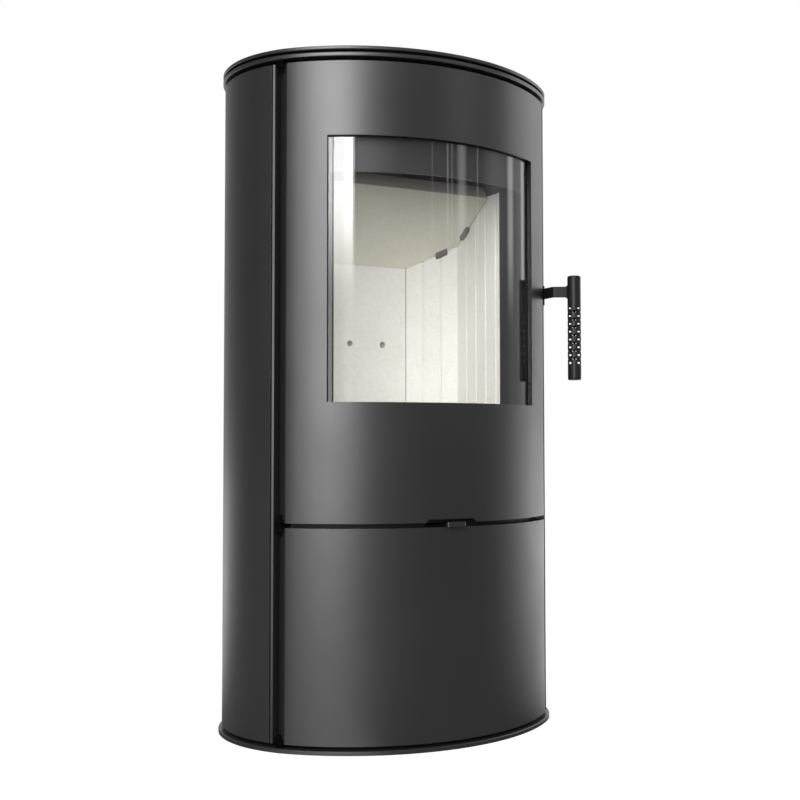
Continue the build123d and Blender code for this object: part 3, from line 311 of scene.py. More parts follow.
# %% [markdown]
# ## Firebrick board
#
# The hearth is lined with pressed vermiculite: a cream board made of mica flakes. Two patterns
# show it. A Voronoi cell pattern of about two millimetres gives every flake its own tint, and a
# wide noise gives the faint clouds of the pressing. The same flakes lift the surface a little.
# Where boards meet, the board is painted with shade: painting it in would take a map of each board, so an Ambient
# Occlusion node darkens the last millimetres of every joint and groove, where shade falls. The baffle above the
# fire is also painted darker, more so the higher it leans.

# %% Board for the hearth and the baffle
FLAKE_SCALE = 420.0
CREVICE_REACH = 0.005
UNCHANGED = (1.0, 1.0, 1.0)


def pressed_board(title, dark, middle, light, darken_between=None):
    """Board of mica flakes in three tints, with faint clouds and painted shade in its crevices. If given, the last
    argument is two heights: the board grows darker from the first one up to the second."""
    board, shader = new_finish(title, middle, roughness=0.85, specular=0.3)
    tree = board.node_tree
    flakes = tree.nodes.new("ShaderNodeTexVoronoi")
    flakes.inputs["Scale"].default_value = FLAKE_SCALE
    tree.links.new(place_on_piece(tree), flakes.inputs["Vector"])
    flake_tint = tree.nodes.new("ShaderNodeSeparateColor")
    tree.links.new(flakes.outputs["Color"], flake_tint.inputs["Color"])
    tint = shades(tree, flake_tint.outputs["Red"], [(0.0, dark), (0.3, middle), (1.0, light)])
    # Painted shade: the Ambient Occlusion node darkens joints and grooves, where shade falls.
    crevice = tree.nodes.new("ShaderNodeAmbientOcclusion")
    crevice.samples = 8
    crevice.inputs["Distance"].default_value = CREVICE_REACH
    crevice_shade = shades(tree, crevice.outputs["AO"], [(0.2, (0.35, 0.34, 0.32)), (0.62, UNCHANGED)])
    cloudy = shades(tree, grain(board, scale=14.0, detail=4.0), [(0.3, (0.97, 0.968, 0.96)), (0.7, UNCHANGED)])
    layers = [cloudy, crevice_shade]
    # The board grows darker from its lower height up to its higher one.
    if darken_between:
        slope = 1.0 / (darken_between[1] - darken_between[0])
        height = axes(tree, place_on_piece(tree))["Z"]
        rise = maths(tree, "MULTIPLY_ADD", height, slope, -slope * darken_between[0])
        layers.append(shades(tree, rise, [(0.0, UNCHANGED), (1.0, (0.56, 0.55, 0.53))]))
    for layer in layers:
        pressed = tree.nodes.new("ShaderNodeMix")
        pressed.data_type = "RGBA"
        pressed.blend_type = "MULTIPLY"
        pressed.inputs["Factor"].default_value = 1.0
        tree.links.new(tint, pressed.inputs["A"])
        tree.links.new(layer, pressed.inputs["B"])
        tint = pressed.outputs["Result"]
    tree.links.new(tint, shader.inputs["Base Color"])
    bump(board, shader, flakes.outputs["Distance"], depth=0.00015)
    return board


fire_board = pressed_board("firebrick board", (0.78, 0.76, 0.71), (0.83, 0.815, 0.775), (0.85, 0.84, 0.80))
# The baffle is painted darker towards its top.
baffle_low, baffle_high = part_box("baffle_board")
board_darker_upwards = pressed_board("board darker towards the top", (0.76, 0.74, 0.65), (0.80, 0.78, 0.69), (0.83, 0.81, 0.73),
                             darken_between=(baffle_low[2], baffle_high[2]))
print("made", fire_board.name, "and", board_darker_upwards.name)

# %% [markdown]
# ## Stove glass
#
# The window is a bent sheet of clear glass ceramic. Seen by the camera and by reflections it is
# real glass, a little more of a mirror than window glass. Light on its way to the hearth would
# make noisy caustics through it, so for shadow rays and for light scattered off the boards the
# same sheet is simply clear. Light Path tells the two apart.

# %% Glass that lets the studio light the hearth
stove_glass, shader = new_finish("stove glass", (1.0, 1.0, 1.0), roughness=0.0)
shader.inputs["IOR"].default_value = 1.7
shader.inputs["Transmission Weight"].default_value = 1.0
tree = stove_glass.node_tree
rays = tree.nodes.new("ShaderNodeLightPath").outputs
light_only = maths(tree, "MAXIMUM", rays["Is Shadow Ray"], rays["Is Diffuse Ray"])
clear = tree.nodes.new("ShaderNodeBsdfTransparent")
clear.inputs["Color"].default_value = (1.0, 1.0, 1.0, 1.0)
blend_surfaces(tree, light_only, shader.outputs["BSDF"], clear.outputs["BSDF"])
print("made", stove_glass.name)

# %% [markdown]
# ## Who wears what
#
# The imported record gives every node a material slot, and a slot gives most nodes their finish.
# Some differ from their slot because of where they work: the fire darkens the glass clips and the log guard, the
# baffle is painted darker towards its top, bare shell and hooks show their scale, the slider and the strip over
# the window are painted where they show, the hinges are painted near black as the shade of their seams, and the
# posts, with a painted highlight on the lip, and the handle have finishes of their own. A table by name says this
# plainly, and is quicker to change than a rule.

# %% Dress the CAD nodes
slot_finish = {
    "body_paint": satin_paint,
    "black_steel": black_steel,
    "bare_steel": plated_steel,
    "cast_iron": cast_iron,
    "lining_board": fire_board,
    "stove_glass": stove_glass,
    "rope_seal": black_steel,
}
own_finish = {
    "air_wash_plate": satin_paint,
    "air_slider": satin_paint,
    "corner_post_left": lip_highlight_finish,
    "corner_post_right": lip_highlight_finish,
    "handle_arm": arm_black,
    "handle_tube": handle_black,
    "handle_caps": handle_black,
    "handle_lugs": handle_black,
    "door_hinge_tabs": hinge_black,
    "lower_hinge_tabs": hinge_black,
    "hinge_brackets": hinge_black,
    "glass_clips": fired_steel,
    "log_guard": fired_steel,
    "firebox_back": shell_steel,
    "firebox_roof": shell_steel,
    "baffle_hooks": shell_steel,
    "baffle_board": board_darker_upwards,
}
for subpart in frame["record"]["subparts"]:
    name = subpart["node"]
    finish = own_finish.get(name, slot_finish[subpart["material_slot"]])
    nodes[name].data.materials.clear()
    nodes[name].data.materials.append(finish)

# %% [markdown]
# ## Surfaces from formulas
#
# Each new piece is a surface with two parameters, worked out for a whole grid at once. Modelling
# tools could pull each one into shape by hand, but a formula keeps the real sizes in view and
# changes with one number. One helper turns grids into a mesh: rows and columns of points, joined
# by quads, closed round in one or both directions. A closed mesh then has its faces turned
# outwards, whichever way its grid ran.

# %% Turn a closed mesh the right way out and show it
def turn_faces_out(mesh, join_within=0.0):
    """Make points nearer than join_within one, then turn every face of a closed mesh outwards."""
    shell = bmesh.new()
    shell.from_mesh(mesh)
    if join_within > 0.0:
        bmesh.ops.remove_doubles(shell, verts=shell.verts, dist=join_within)
    bmesh.ops.recalc_face_normals(shell, faces=shell.faces)
    shell.to_mesh(mesh)
    shell.free()


def show(name, mesh, finish):
    """An object at the origin that shows a mesh in one finish."""
    mesh.materials.append(finish)
    piece = bpy.data.objects.new(name, mesh)
    bpy.context.scene.collection.objects.link(piece)
    return piece


# %% Put a grid of points into a mesh
def grid_faces(rows, columns, wrap_rows=False, wrap_columns=True):
    """Quads between neighbours: point (i, j) has number i * columns + j. Rows and columns close
    round if asked."""
    i, j = np.meshgrid(np.arange(rows if wrap_rows else rows - 1),
                       np.arange(columns if wrap_columns else columns - 1), indexing="ij")
    i, j = i.ravel(), j.ravel()
    next_i, next_j = (i + 1) % rows, (j + 1) % columns
    corners = [i * columns + j, i * columns + next_j, next_i * columns + next_j, next_i * columns + j]
    return np.stack(corners, axis=1)


def make_piece(name, grids, finish, body, wrap_rows=False):
    """A smooth closed mesh at the origin that rides on a body. Each grid is rows x columns points;
    without wrapped rows its first and last rows are closed by one face each."""
    points, faces, start = [], [], 0
    for grid in grids:
        rows, columns = grid.shape[:2]
        faces += (grid_faces(rows, columns, wrap_rows) + start).tolist()
        if not wrap_rows:
            faces.append((start + np.arange(columns)).tolist())
            faces.append((start + (rows - 1) * columns + np.arange(columns)[::-1]).tolist())
        points.append(grid.reshape(-1, 3))
        start += rows * columns
    mesh = bpy.data.meshes.new(name)
    mesh.from_pydata(np.concatenate(points).tolist(), [], faces)
    turn_faces_out(mesh)
    piece = show(name, mesh, finish)
    shade_smooth(piece)
    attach(piece, body)
    print(name, start, "points on", body)
    return piece


print("three rings of four points make", len(grid_faces(3, 4)), "faces")

# %% [markdown]
# ## The door's curve
#
# The doors follow the front arc of the body's oval. Anything fastened to a door is drawn flat, as
# width and height, and then bent onto that arc at some depth behind the paint. A curve modifier
# could bend it too, but the formula for a circle is exact and shorter. The arc's centre and radius
# come from the oval's real sizes: 265 mm half width, 159 mm end radius and 40.78 degrees of front
# arc to each side. The back is the same arc, mirrored.

# %% Bend flat places onto the front arc
ARC_HALF_ANGLE = radians(40.78)
ARC_CENTRE = END_CENTRE / np.tan(ARC_HALF_ANGLE)
ARC_RADIUS = END_RADIUS + END_CENTRE / np.sin(ARC_HALF_ANGLE)


def on_front_arc(x, z, depth):
    """Place of a point x across and z up, depth behind the painted face: on a circle of radius
    (arc radius - depth) round the arc's centre, y = centre - sqrt(radius^2 - x^2)."""
    y = ARC_CENTRE - np.sqrt((ARC_RADIUS - depth) ** 2 - x ** 2)
    return np.stack(np.broadcast_arrays(x, y, z), axis=-1)


print("front arc radius", round(float(ARC_RADIUS) * 1000, 1), "mm")

# %% [markdown]
# ## Seals: a braided rope and a flat tape
#
# A stove door closes on a rope of braided glass fibre that is glued into a channel, and its glass
# sits on a flat woven tape. Both run round a rounded rectangle, so both come from one function.
# It takes an inner and an outer rectangle and a closed section between them: width runs from the
# inner to the outer one and depth runs away from the paint. The braid is part of the surface, not
# just of its shading: two sets of strands cross, and each lifts the skin where it lies on top.

# %% A rounded rectangle as one closed line
def rounded_rectangle(half_width, low, high, corner, side_steps, corner_steps=9):
    """Points round a rectangle whose corners are quarter circles: the four corner arcs share one
    angle table, and the straight runs are what lies between two arcs."""
    turns = np.linspace(0.0, pi / 2, corner_steps)
    right, left = half_width - corner, corner - half_width
    top, bottom = high - corner, low + corner
    centres = [(right, top), (left, top), (left, bottom), (right, bottom)]
    arcs = [np.stack([x + corner * np.cos(turns + quarter * pi / 2),
                      z + corner * np.sin(turns + quarter * pi / 2)], axis=-1)
            for quarter, (x, z) in enumerate(centres)]
    runs = []
    for quarter, arc in enumerate(arcs):
        share = np.linspace(0.0, 1.0, side_steps[quarter % 2], endpoint=False)[1:, None]
        runs += [arc, arc[-1] + share * (arcs[(quarter + 1) % 4][0] - arc[-1])]
    return np.concatenate(runs)


# %% A seal between two rectangles
def rounded_square(angle, sharpness):
    """Cosine and sine of an angle pushed out to a square: sign(c) * |c| ^ sharpness."""
    c, s = np.cos(angle), np.sin(angle)
    return np.sign(c) * np.abs(c) ** sharpness, np.sign(s) * np.abs(s) ** sharpness


def seal_surface(inner, outer, depths, section_steps, sharpness, relief):
    """Points of a seal: inner + width * (outer - inner) across, bent onto the front arc between
    two depths. Width and depth run round a rounded square that fills 98% of its space across, and
    it shrinks towards its middle by relief(length along, angle)."""
    angle = np.linspace(0.0, 2 * pi, section_steps, endpoint=False)
    square_cos, square_sin = rounded_square(angle, sharpness)
    width = 0.5 + 0.49 * square_cos
    depth = sum(depths) / 2 + (depths[1] - depths[0]) / 2 * square_sin
    middle = (inner + outer) / 2
    along = np.cumsum(np.linalg.norm(np.roll(middle, -1, axis=0) - middle, axis=1))
    shrink = 1.0 - relief(along[:, None], angle[None, :])
    across = 0.5 + (width - 0.5) * shrink
    deep = depth.mean() + (depth - depth.mean()) * shrink
    flat = inner[:, None, :] + across[..., None] * (outer - inner)[:, None, :]
    return on_front_arc(flat[..., 0], flat[..., 1], deep)


# %% [markdown]
# The rope fills its channel: ten millimetres wide and a little under fourteen deep. Its section is
# a rounded square, written as a superellipse. Separate strands could be woven as curves, at many
# times the faces. Here the strand height is the larger of two cosine waves that run round the rope
# in opposite directions, which leaves the same small diamond-shaped knuckles.

# %% Braided glass fibre
rope_fibre, shader = new_finish("black glass fibre", (0.03, 0.03, 0.031), roughness=0.78)
shader.inputs["Sheen Weight"].default_value = 0.35
shader.inputs["Sheen Roughness"].default_value = 0.4
bump(rope_fibre, shader, grain(rope_fibre, scale=1800.0, detail=3.0), depth=0.0003)
print("made", rope_fibre.name)

# %% Braided rope of the door
ROPE_WIDTH, ROPE_DEPTHS = 0.010, (0.0061, 0.0195)
ROPE_CORNERS, ROPE_STEPS = (0.001, 0.009), (200, 330)
STRAND_PITCH, STRAND_PAIRS, STRAND_RELIEF = 0.011, 3, 0.09


def braid(along, angle):
    """How far the skin lies under the top strand: 9% times (1 - the larger of two squared
    cosines that wind opposite ways round the rope)."""
    winding = pi * along / STRAND_PITCH
    one_way = np.cos(STRAND_PAIRS * angle + winding) ** 2
    other_way = np.cos(STRAND_PAIRS * angle - winding) ** 2
    return STRAND_RELIEF * (1.0 - np.maximum(one_way, other_way))


low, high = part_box("door_rope")
rope_inner = rounded_rectangle(high[0] - ROPE_WIDTH, low[2] + ROPE_WIDTH, high[2] - ROPE_WIDTH,
                               ROPE_CORNERS[0], ROPE_STEPS)
rope_outer = rounded_rectangle(high[0], low[2], high[2], ROPE_CORNERS[1], ROPE_STEPS)
rope_points = seal_surface(rope_inner, rope_outer, ROPE_DEPTHS, section_steps=36, sharpness=0.7, relief=braid)
braided_rope = make_piece("braided_rope", [rope_points], rope_fibre, "door", wrap_rows=True)
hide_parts("door_rope")

# %% [markdown]
# The tape under the glass is two millimetres thick. It is wider above and below the window than
# beside it, so its inner and outer rectangles do that by themselves. Its weave could be a bump,
# but ribs that are really there show in its outline too. They are a millimetre and a half apart.

# %% Flat tape under the glass
TAPE_SIDE, TAPE_END, TAPE_DEPTHS = 0.0064, 0.009, (0.00405, 0.00595)
TAPE_CORNER, TAPE_STEPS = 0.0005, (600, 900)
RIB_PITCH, RIB_RELIEF = 0.0015, 0.04


def ribs(along, angle):
    """How far the tape lies under its ribs: 4% times the square of a sine along the tape."""
    return RIB_RELIEF * np.sin(pi * along / RIB_PITCH) ** 2 * np.ones_like(angle)


low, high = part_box("glass_gasket")
tape_inner = rounded_rectangle(high[0] - TAPE_SIDE, low[2] + TAPE_END, high[2] - TAPE_END,
                               TAPE_CORNER, TAPE_STEPS, corner_steps=3)
tape_outer = rounded_rectangle(high[0], low[2], high[2], TAPE_CORNER, TAPE_STEPS, corner_steps=3)
tape_points = seal_surface(tape_inner, tape_outer, TAPE_DEPTHS, section_steps=16, sharpness=0.4, relief=ribs)
glass_tape = make_piece("glass_tape", [tape_points], rope_fibre, "door", wrap_rows=True)
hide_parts("glass_gasket")

# %% [markdown]
# ## Screw heads
#
# The clips inside the door and the back panel are held by pan-head screws with a cross recess. The
# recess could be cut with a Boolean. A polar grid does it in one surface: rings from the middle
# out, then over the rim and down to the sheet. The height falls off like a low dome, and a
# cross-shaped pit is sunk into it. All heads of one kind are worked out together, each turned by
# its own amount, as a fitter leaves them.

# %% One screw head as a grid of rings
CROSS_HALF_WIDTH, CROSS_REACH, CROSS_DEPTH = 0.16, 0.62, 0.45
SEATED = 0.00005


def screw_head(radius, height, columns=40):
    """Rings of (across, up, out): a dome of height * (0.6 + 0.4 * sqrt(1 - 0.9 s^2)) at share s
    of the radius, less a cross pit with sloping sides, then a straight side down to the sheet."""
    share = np.concatenate([np.linspace(0.05, 0.97, 16), [1.0, 1.0, 1.0]])
    angle = np.linspace(0.0, 2 * pi, columns, endpoint=False)
    across = radius * share[:, None] * np.cos(angle)
    up = radius * share[:, None] * np.sin(angle)
    dome = height * (0.6 + 0.4 * np.sqrt(1.0 - 0.9 * share ** 2))
    dome[-3:] = dome[-4] * np.array([0.9, 0.3, 0.0])
    slot = (CROSS_HALF_WIDTH * radius - np.minimum(abs(across), abs(up))) / (0.07 * radius)
    reach = (CROSS_REACH * radius - np.hypot(across, up)) / (0.12 * radius)
    out = dome[:, None] - CROSS_DEPTH * height * np.clip(slot, 0, 1) * np.clip(reach, 0, 1)
    return np.stack([across, up, out], axis=-1)


def seat_heads(head, places, outward, turns):
    """Each head turned in its own plane and stood on its place, facing outward: place + across *
    side + up * upward + out * outward."""
    side = np.cross([0.0, 0.0, 1.0], outward)
    side /= np.linalg.norm(side, axis=1)[:, None]
    upward = np.cross(outward, side)
    cosine, sine = np.cos(turns)[:, None, None], np.sin(turns)[:, None, None]
    across = cosine * head[..., 0] - sine * head[..., 1]
    up = sine * head[..., 0] + cosine * head[..., 1]
    spots = places[:, None, None, :] + across[..., None] * side[:, None, None, :]
    spots = spots + up[..., None] * upward[:, None, None, :]
    return spots + head[..., 2][None, ..., None] * outward[:, None, None, :]


# %% Screws of the back panel
PANEL_HEAD, PANEL_HEAD_HEIGHT, PANEL_ROWS = 0.004, 0.0019, 5
low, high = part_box("back_screws")
screw_x = high[0] - PANEL_HEAD
rows = np.linspace(low[2] + PANEL_HEAD, high[2] - PANEL_HEAD, PANEL_ROWS)
x, z = [grid.ravel() for grid in np.meshgrid([-screw_x, screw_x], rows)]
y = np.sqrt(ARC_RADIUS ** 2 - x ** 2) - ARC_CENTRE
outward = np.stack([x, y + ARC_CENTRE, np.zeros_like(x)], axis=1) / ARC_RADIUS
places = np.stack([x, y, z], axis=1) - SEATED * outward
turns = np.array([0.2, 1.1, 0.7, 1.4, 0.4, 0.9, 1.3, 0.1, 0.6, 1.0])
heads = seat_heads(screw_head(PANEL_HEAD, PANEL_HEAD_HEIGHT), places, outward, turns)
panel_screws = make_piece("panel_screws", heads, plated_steel, "casing")
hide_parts("back_screws")

# %% Screws of the glass clips
CLIP_HEAD, CLIP_HEAD_HEIGHT, CLIP_ROWS = 0.003, 0.0024, 3
CLIP_BACK = 0.012
low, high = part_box("clip_screws")
rows = np.linspace(low[2] + CLIP_HEAD, high[2] - CLIP_HEAD, CLIP_ROWS)
x, z = [grid.ravel() for grid in np.meshgrid([low[0] + CLIP_HEAD, high[0] - CLIP_HEAD], rows)]
places = on_front_arc(x, z, CLIP_BACK - SEATED)
outward = (np.array([0.0, ARC_CENTRE, 0.0]) - places) * [1, 1, 0]
outward /= np.linalg.norm(outward, axis=1)[:, None]
turns = np.array([0.5, 1.2, 0.3, 0.8, 1.5, 0.2])
heads = seat_heads(screw_head(CLIP_HEAD, CLIP_HEAD_HEIGHT, columns=32), places, outward, turns)
glass_screws = make_piece("glass_screws", heads, plated_steel, "door")
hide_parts("clip_screws")

# %% [markdown]
# ## The weld of the handle
#
# The flat arm of the handle runs up to the tube and is welded to it all round. A ring of rippled
# beads would show up close, but this weld is ground smooth under its paint. So it is a collar:
# rings round the arm that swell as they near the tube, and end just inside its wall.

# %% The weld between arm and tube
TUBE_RADIUS, ARM_HALF_THICKNESS, ARM_HALF_HEIGHT = 0.0105, 0.0015, 0.0085
ARM_OUT, ARM_RISE = 0.0315, 0.0022
WELD_REACH, WELD_FLARE, WELD_SKIN, WELD_BITE = 0.0036, 0.0036, 0.0003, 0.0004
pivot = next(joint["pos_m"] for joint in frame["joints"] if joint["name"] == "handle_swing")
tube_low, tube_high = [np.array(corner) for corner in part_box("handle_tube")]
tube_middle = (tube_low + tube_high) / 2
arm_bend = np.array([pivot[0], pivot[1] - ARM_OUT])
towards_arm = (arm_bend - tube_middle[:2]) / np.linalg.norm(arm_bend - tube_middle[:2])
sideways = np.array([-towards_arm[1], towards_arm[0]])
arm_low, arm_high = pivot[2] + ARM_RISE - ARM_HALF_HEIGHT, pivot[2] + ARM_RISE + ARM_HALF_HEIGHT


def weld_collar():
    """Rings round the arm that swell as they near the tube: the metal added on every side is
    skin + flare * t^3, with t = 0 on the arm and t = 1 just under the tube's wall. Each ring is
    a rounded square, stretched to the arm's thickness and height with that metal added."""
    share = np.linspace(0.0, 1.0, 14)[:, None]
    square_cos, square_sin = rounded_square(np.linspace(0.0, 2 * pi, 48, endpoint=False), 0.5)
    added = WELD_SKIN + WELD_FLARE * share ** 3
    beside = (ARM_HALF_THICKNESS + added) * square_cos
    height = (arm_high + arm_low) / 2 + ((arm_high - arm_low) / 2 + added) * square_sin
    wall = np.sqrt(TUBE_RADIUS ** 2 - beside ** 2) - WELD_BITE
    along = (1.0 - share) * (TUBE_RADIUS + WELD_REACH) + share * wall
    flat = tube_middle[:2] + along[..., None] * towards_arm + beside[..., None] * sideways
    return np.concatenate([flat, height[..., None]], axis=-1)


make_piece("arm_weld", [weld_collar()], arm_black, "handle")

# %% [markdown]
# ## The perforated grip
#
# The grip is a thin tube with oval holes right through it, so white background shows where a
# front and a back hole line up. Eight columns of holes stand round the tube, and every second one
# is raised by half a pitch. Sixty Booleans would leave ragged faces on a wall this thin, so the
# holes are part of the surface. Unrolled, each hole sits in a rectangular cell. The cell is a set
# of rings: on the outside they slide from the cell's border in to the hole, then they drop through
# the wall and slide back out on the inside. Cells share their border points, so once the points
# that share a place are joined, the whole tube is one closed sheet.

# %% Rings of one cell
TUBE_WALL = 0.0015
HOLE_HALF_WIDE, HOLE_HALF_TALL = 0.0039, 0.0021
HOLE_PITCH, HOLE_ROWS, FIRST_HOLE = 0.0124, 8, 0.0222
HOLE_COLUMNS, GRIP_TURN = 8, -2.2
COLUMN_TURN = 2 * pi / HOLE_COLUMNS
CELL_STEPS, CELL_LEVELS = 12, 16
RING_SHARES = np.array([0.0, 0.4, 0.75, 0.93, 1.0, 1.0, 0.93, 0.75, 0.4, 0.0])
RING_RADII = TUBE_RADIUS - TUBE_WALL * (np.arange(len(RING_SHARES)) >= len(RING_SHARES) // 2)


def on_tube(turn, height, radius):
    """A place on the tube's wall: round its axis by turn, at a height, radius from the axis."""
    return np.stack(np.broadcast_arrays(tube_middle[0] + radius * np.cos(turn),
                                        tube_middle[1] + radius * np.sin(turn), height), axis=-1)


def hole_cell(turn, height):
    """Rings border + share * (hole - border), where the hole is an oval and its point has the border
    point's own direction: share runs 0 to 1 on the outside and 1 to 0 on the inside."""
    wide = np.linspace(-0.5, 0.5, CELL_STEPS + 1) * COLUMN_TURN * TUBE_RADIUS
    tall = np.linspace(-0.5, 0.5, CELL_LEVELS + 1) * HOLE_PITCH
    across = np.concatenate([wide[:-1], np.full(CELL_LEVELS, wide[-1]),
                             wide[:0:-1], np.full(CELL_LEVELS, wide[0])])
    up = np.concatenate([np.full(CELL_STEPS, tall[0]), tall[:-1],
                         np.full(CELL_STEPS, tall[-1]), tall[:0:-1]])
    hole = 1.0 / np.hypot(across / HOLE_HALF_WIDE, up / HOLE_HALF_TALL)
    ring = 1.0 - RING_SHARES[:, None] * (1.0 - hole)
    return on_tube(turn + ring * across / TUBE_RADIUS, height + ring * up, RING_RADII[:, None])


print("a cell has", hole_cell(0.0, 0.0).shape[:2], "rings and points")

# %% All cells and the plain ends of the tube
first = tube_low[2] + FIRST_HOLE
last = first + (HOLE_ROWS - 1) * HOLE_PITCH
sheets = []
for column in range(HOLE_COLUMNS):
    turn = GRIP_TURN + column * COLUMN_TURN
    raised = column % 2 == 0
    heights = first + (np.arange(HOLE_ROWS - raised) + 0.5 * raised) * HOLE_PITCH
    sheets += [(hole_cell(turn, height), True) for height in heights]
    for end in (first - HOLE_PITCH / 2, last) if raised else ():
        across = np.linspace(-0.5, 0.5, CELL_STEPS + 1) * COLUMN_TURN
        up = np.linspace(0.0, HOLE_PITCH / 2, CELL_LEVELS // 2 + 1)
        for radius in (TUBE_RADIUS, TUBE_RADIUS - TUBE_WALL):
            sheets.append((on_tube(turn + across[None, :], end + up[:, None], radius), False))
turns = GRIP_TURN + (np.arange(HOLE_COLUMNS * CELL_STEPS) / CELL_STEPS - 0.5) * COLUMN_TURN
radii = TUBE_RADIUS - TUBE_WALL * np.array([0, 0, 1, 1])[:, None]
for border, end in ((first - HOLE_PITCH / 2, tube_low[2]), (last + HOLE_PITCH / 2, tube_high[2])):
    heights = np.array([border, end, end, border])[:, None]
    sheets.append((on_tube(turns[None, :], heights, radii), True))
print(len(sheets), "sheets make the grip")

# %% Join the sheets into the grip
grip_points, grip_faces, start = [], [], 0
for sheet, closed in sheets:
    grip_faces += (grid_faces(*sheet.shape[:2], wrap_columns=closed) + start).tolist()
    grip_points.append(sheet.reshape(-1, 3))
    start += sheet.shape[0] * sheet.shape[1]
grip_mesh = bpy.data.meshes.new("perforated_grip")
grip_mesh.from_pydata(np.concatenate(grip_points).tolist(), [], grip_faces)
turn_faces_out(grip_mesh, join_within=1e-6)
perforated_grip = show("perforated_grip", grip_mesh, handle_black)
shade_smooth(perforated_grip)
keep_edges(perforated_grip)
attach(perforated_grip, "handle")
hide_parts("handle_tube")
print("grip has", len(grip_mesh.polygons), "faces")

# %% [markdown]
# A threaded rod runs through the grip and pulls its two caps together. The Screw modifier could
# turn a profile into a thread. As a surface it takes one line: a helix whose radius swells and
# shrinks with height, while the wave slides round with the angle.

# %% Threaded rod inside the grip
ROD_RADIUS, ROD_RINGS, THREAD_DEPTH, THREAD_PITCH = 0.0019, 930, 0.00015, 0.001
angle = np.linspace(0.0, 2 * pi, 16, endpoint=False)
height = np.linspace(tube_low[2], tube_high[2], ROD_RINGS)[:, None]
thread = ROD_RADIUS + THREAD_DEPTH * np.sin(2 * pi * height / THREAD_PITCH + angle)
make_piece("grip_rod", [on_tube(angle, height, thread)], hinge_black, "handle")

# %% [markdown]
# ## The studio floor
#
# The stove stands on a pale floor that runs into a white background with no line between them.
# Near the stove the floor is a real diffuse surface, so it carries the stove's soft shadow. To the
# camera it also glows a little, which keeps it pale without more lamps. Further out the glow takes
# over, until the floor is exactly as white as the background.

# %% A round floor
FLOOR_RADIUS = 16.0


def floor_disc(rings=40, columns=96):
    """Rings round the origin whose radii grow with the square of their share."""
    radius = np.linspace(0.02, 1.0, rings)[:, None] ** 2 * FLOOR_RADIUS
    angle = np.linspace(0.0, 2 * pi, columns, endpoint=False)
    places = (radius * np.cos(angle), radius * np.sin(angle), 0.0)
    return np.stack(np.broadcast_arrays(*places), axis=-1)


FLOOR_GLOW, FLOOR_COLOUR, MIRRORED_COLOUR = 0.66, 0.4, 0.08
ALL_FLOOR, ALL_GLOW = 0.9, 2.4
floor_material, shader = new_finish("studio floor", (FLOOR_COLOUR,) * 3, roughness=0.9, specular=0.0)
tree = floor_material.node_tree
place = place_on_piece(tree)
distance = tree.nodes.new("ShaderNodeVectorMath")
distance.operation = "LENGTH"
tree.links.new(place, distance.inputs[0])
fade = spread(tree, distance.outputs["Value"], start=ALL_FLOOR, end=ALL_GLOW, curve="SMOOTHSTEP")
print("floor blends from", ALL_FLOOR, "to", ALL_GLOW, "m")

# %% [markdown]
# Satin paint and glass show the floor as well, and there a white floor would wash out every dark
# band. In a studio the floor is lit in patches. So in reflections its colour drops to a dark grey,
# and it glows by compass direction: bright beside and behind the stove and in front to the left,
# dark elsewhere. Baked or painted patches would do too, but a ramp over the direction is one node.

# %% Levels by compass direction, and rays that reach the eye
def compass_levels(tree, vector, levels):
    """The level at a vector's compass direction, atan2(x, -y): 0 is in front, 90 to the right."""
    parts = axes(tree, vector)
    compass = maths(tree, "ARCTAN2", parts["X"], maths(tree, "MULTIPLY", parts["Y"], -1.0))
    turn = maths(tree, "MULTIPLY_ADD", compass, 0.5 / pi, 0.5)
    return shades(tree, turn, [((angle + 180) / 360, (level,) * 3) for angle, level in levels])


def kinds_of_ray(tree):
    """Whether the eye looks here, straight or through one sheet of glass, and whether the ray is
    a reflection. A sheet has two faces, so a ray through it has a depth of 2."""
    rays = tree.nodes.new("ShaderNodeLightPath").outputs
    one_sheet = maths(tree, "LESS_THAN", rays["Ray Depth"], 2.5)
    through = maths(tree, "MULTIPLY", rays["Is Transmission Ray"], one_sheet)
    return maths(tree, "MAXIMUM", rays["Is Camera Ray"], through), rays["Is Glossy Ray"]


# %% Let the floor glow for the eye, and by compass for the paint
FLOOR_MIRRORED = [(-180, 1.0), (-165, 1.8), (-143, 0.9), (-125, 0.3), (-75, 0.04), (-50, 1.1), (-37, 1.1),
                  (-24, 0.03), (55, 0.03), (80, 0.9), (100, 1.9), (125, 1.6), (180, 1.0)]
seen, reflection = kinds_of_ray(tree)
mirrored = maths(tree, "MULTIPLY", reflection, compass_levels(tree, place, FLOOR_MIRRORED))
glow = maths(tree, "MAXIMUM", seen, mirrored)
tree.links.new(maths(tree, "MULTIPLY", glow, FLOOR_GLOW), shader.inputs["Emission Strength"])
shader.inputs["Emission Color"].default_value = (1.0, 1.0, 1.0, 1.0)
floor_colour = maths(tree, "MULTIPLY_ADD", reflection, MIRRORED_COLOUR - FLOOR_COLOUR, FLOOR_COLOUR)
tree.links.new(floor_colour, shader.inputs["Base Color"])
far_glow = tree.nodes.new("ShaderNodeEmission")
tree.links.new(glow, far_glow.inputs["Strength"])
blend_surfaces(tree, fade, shader.outputs["BSDF"], far_glow.outputs["Emission"])

disc = floor_disc()
floor_mesh = bpy.data.meshes.new("studio_floor")
disc_faces = grid_faces(*disc.shape[:2]).tolist() + [list(range(disc.shape[1]))]
floor_mesh.from_pydata(disc.reshape(-1, 3).tolist(), [], disc_faces)
floor = show("studio_floor", floor_mesh, floor_material)
print("floor radius", FLOOR_RADIUS, "m")

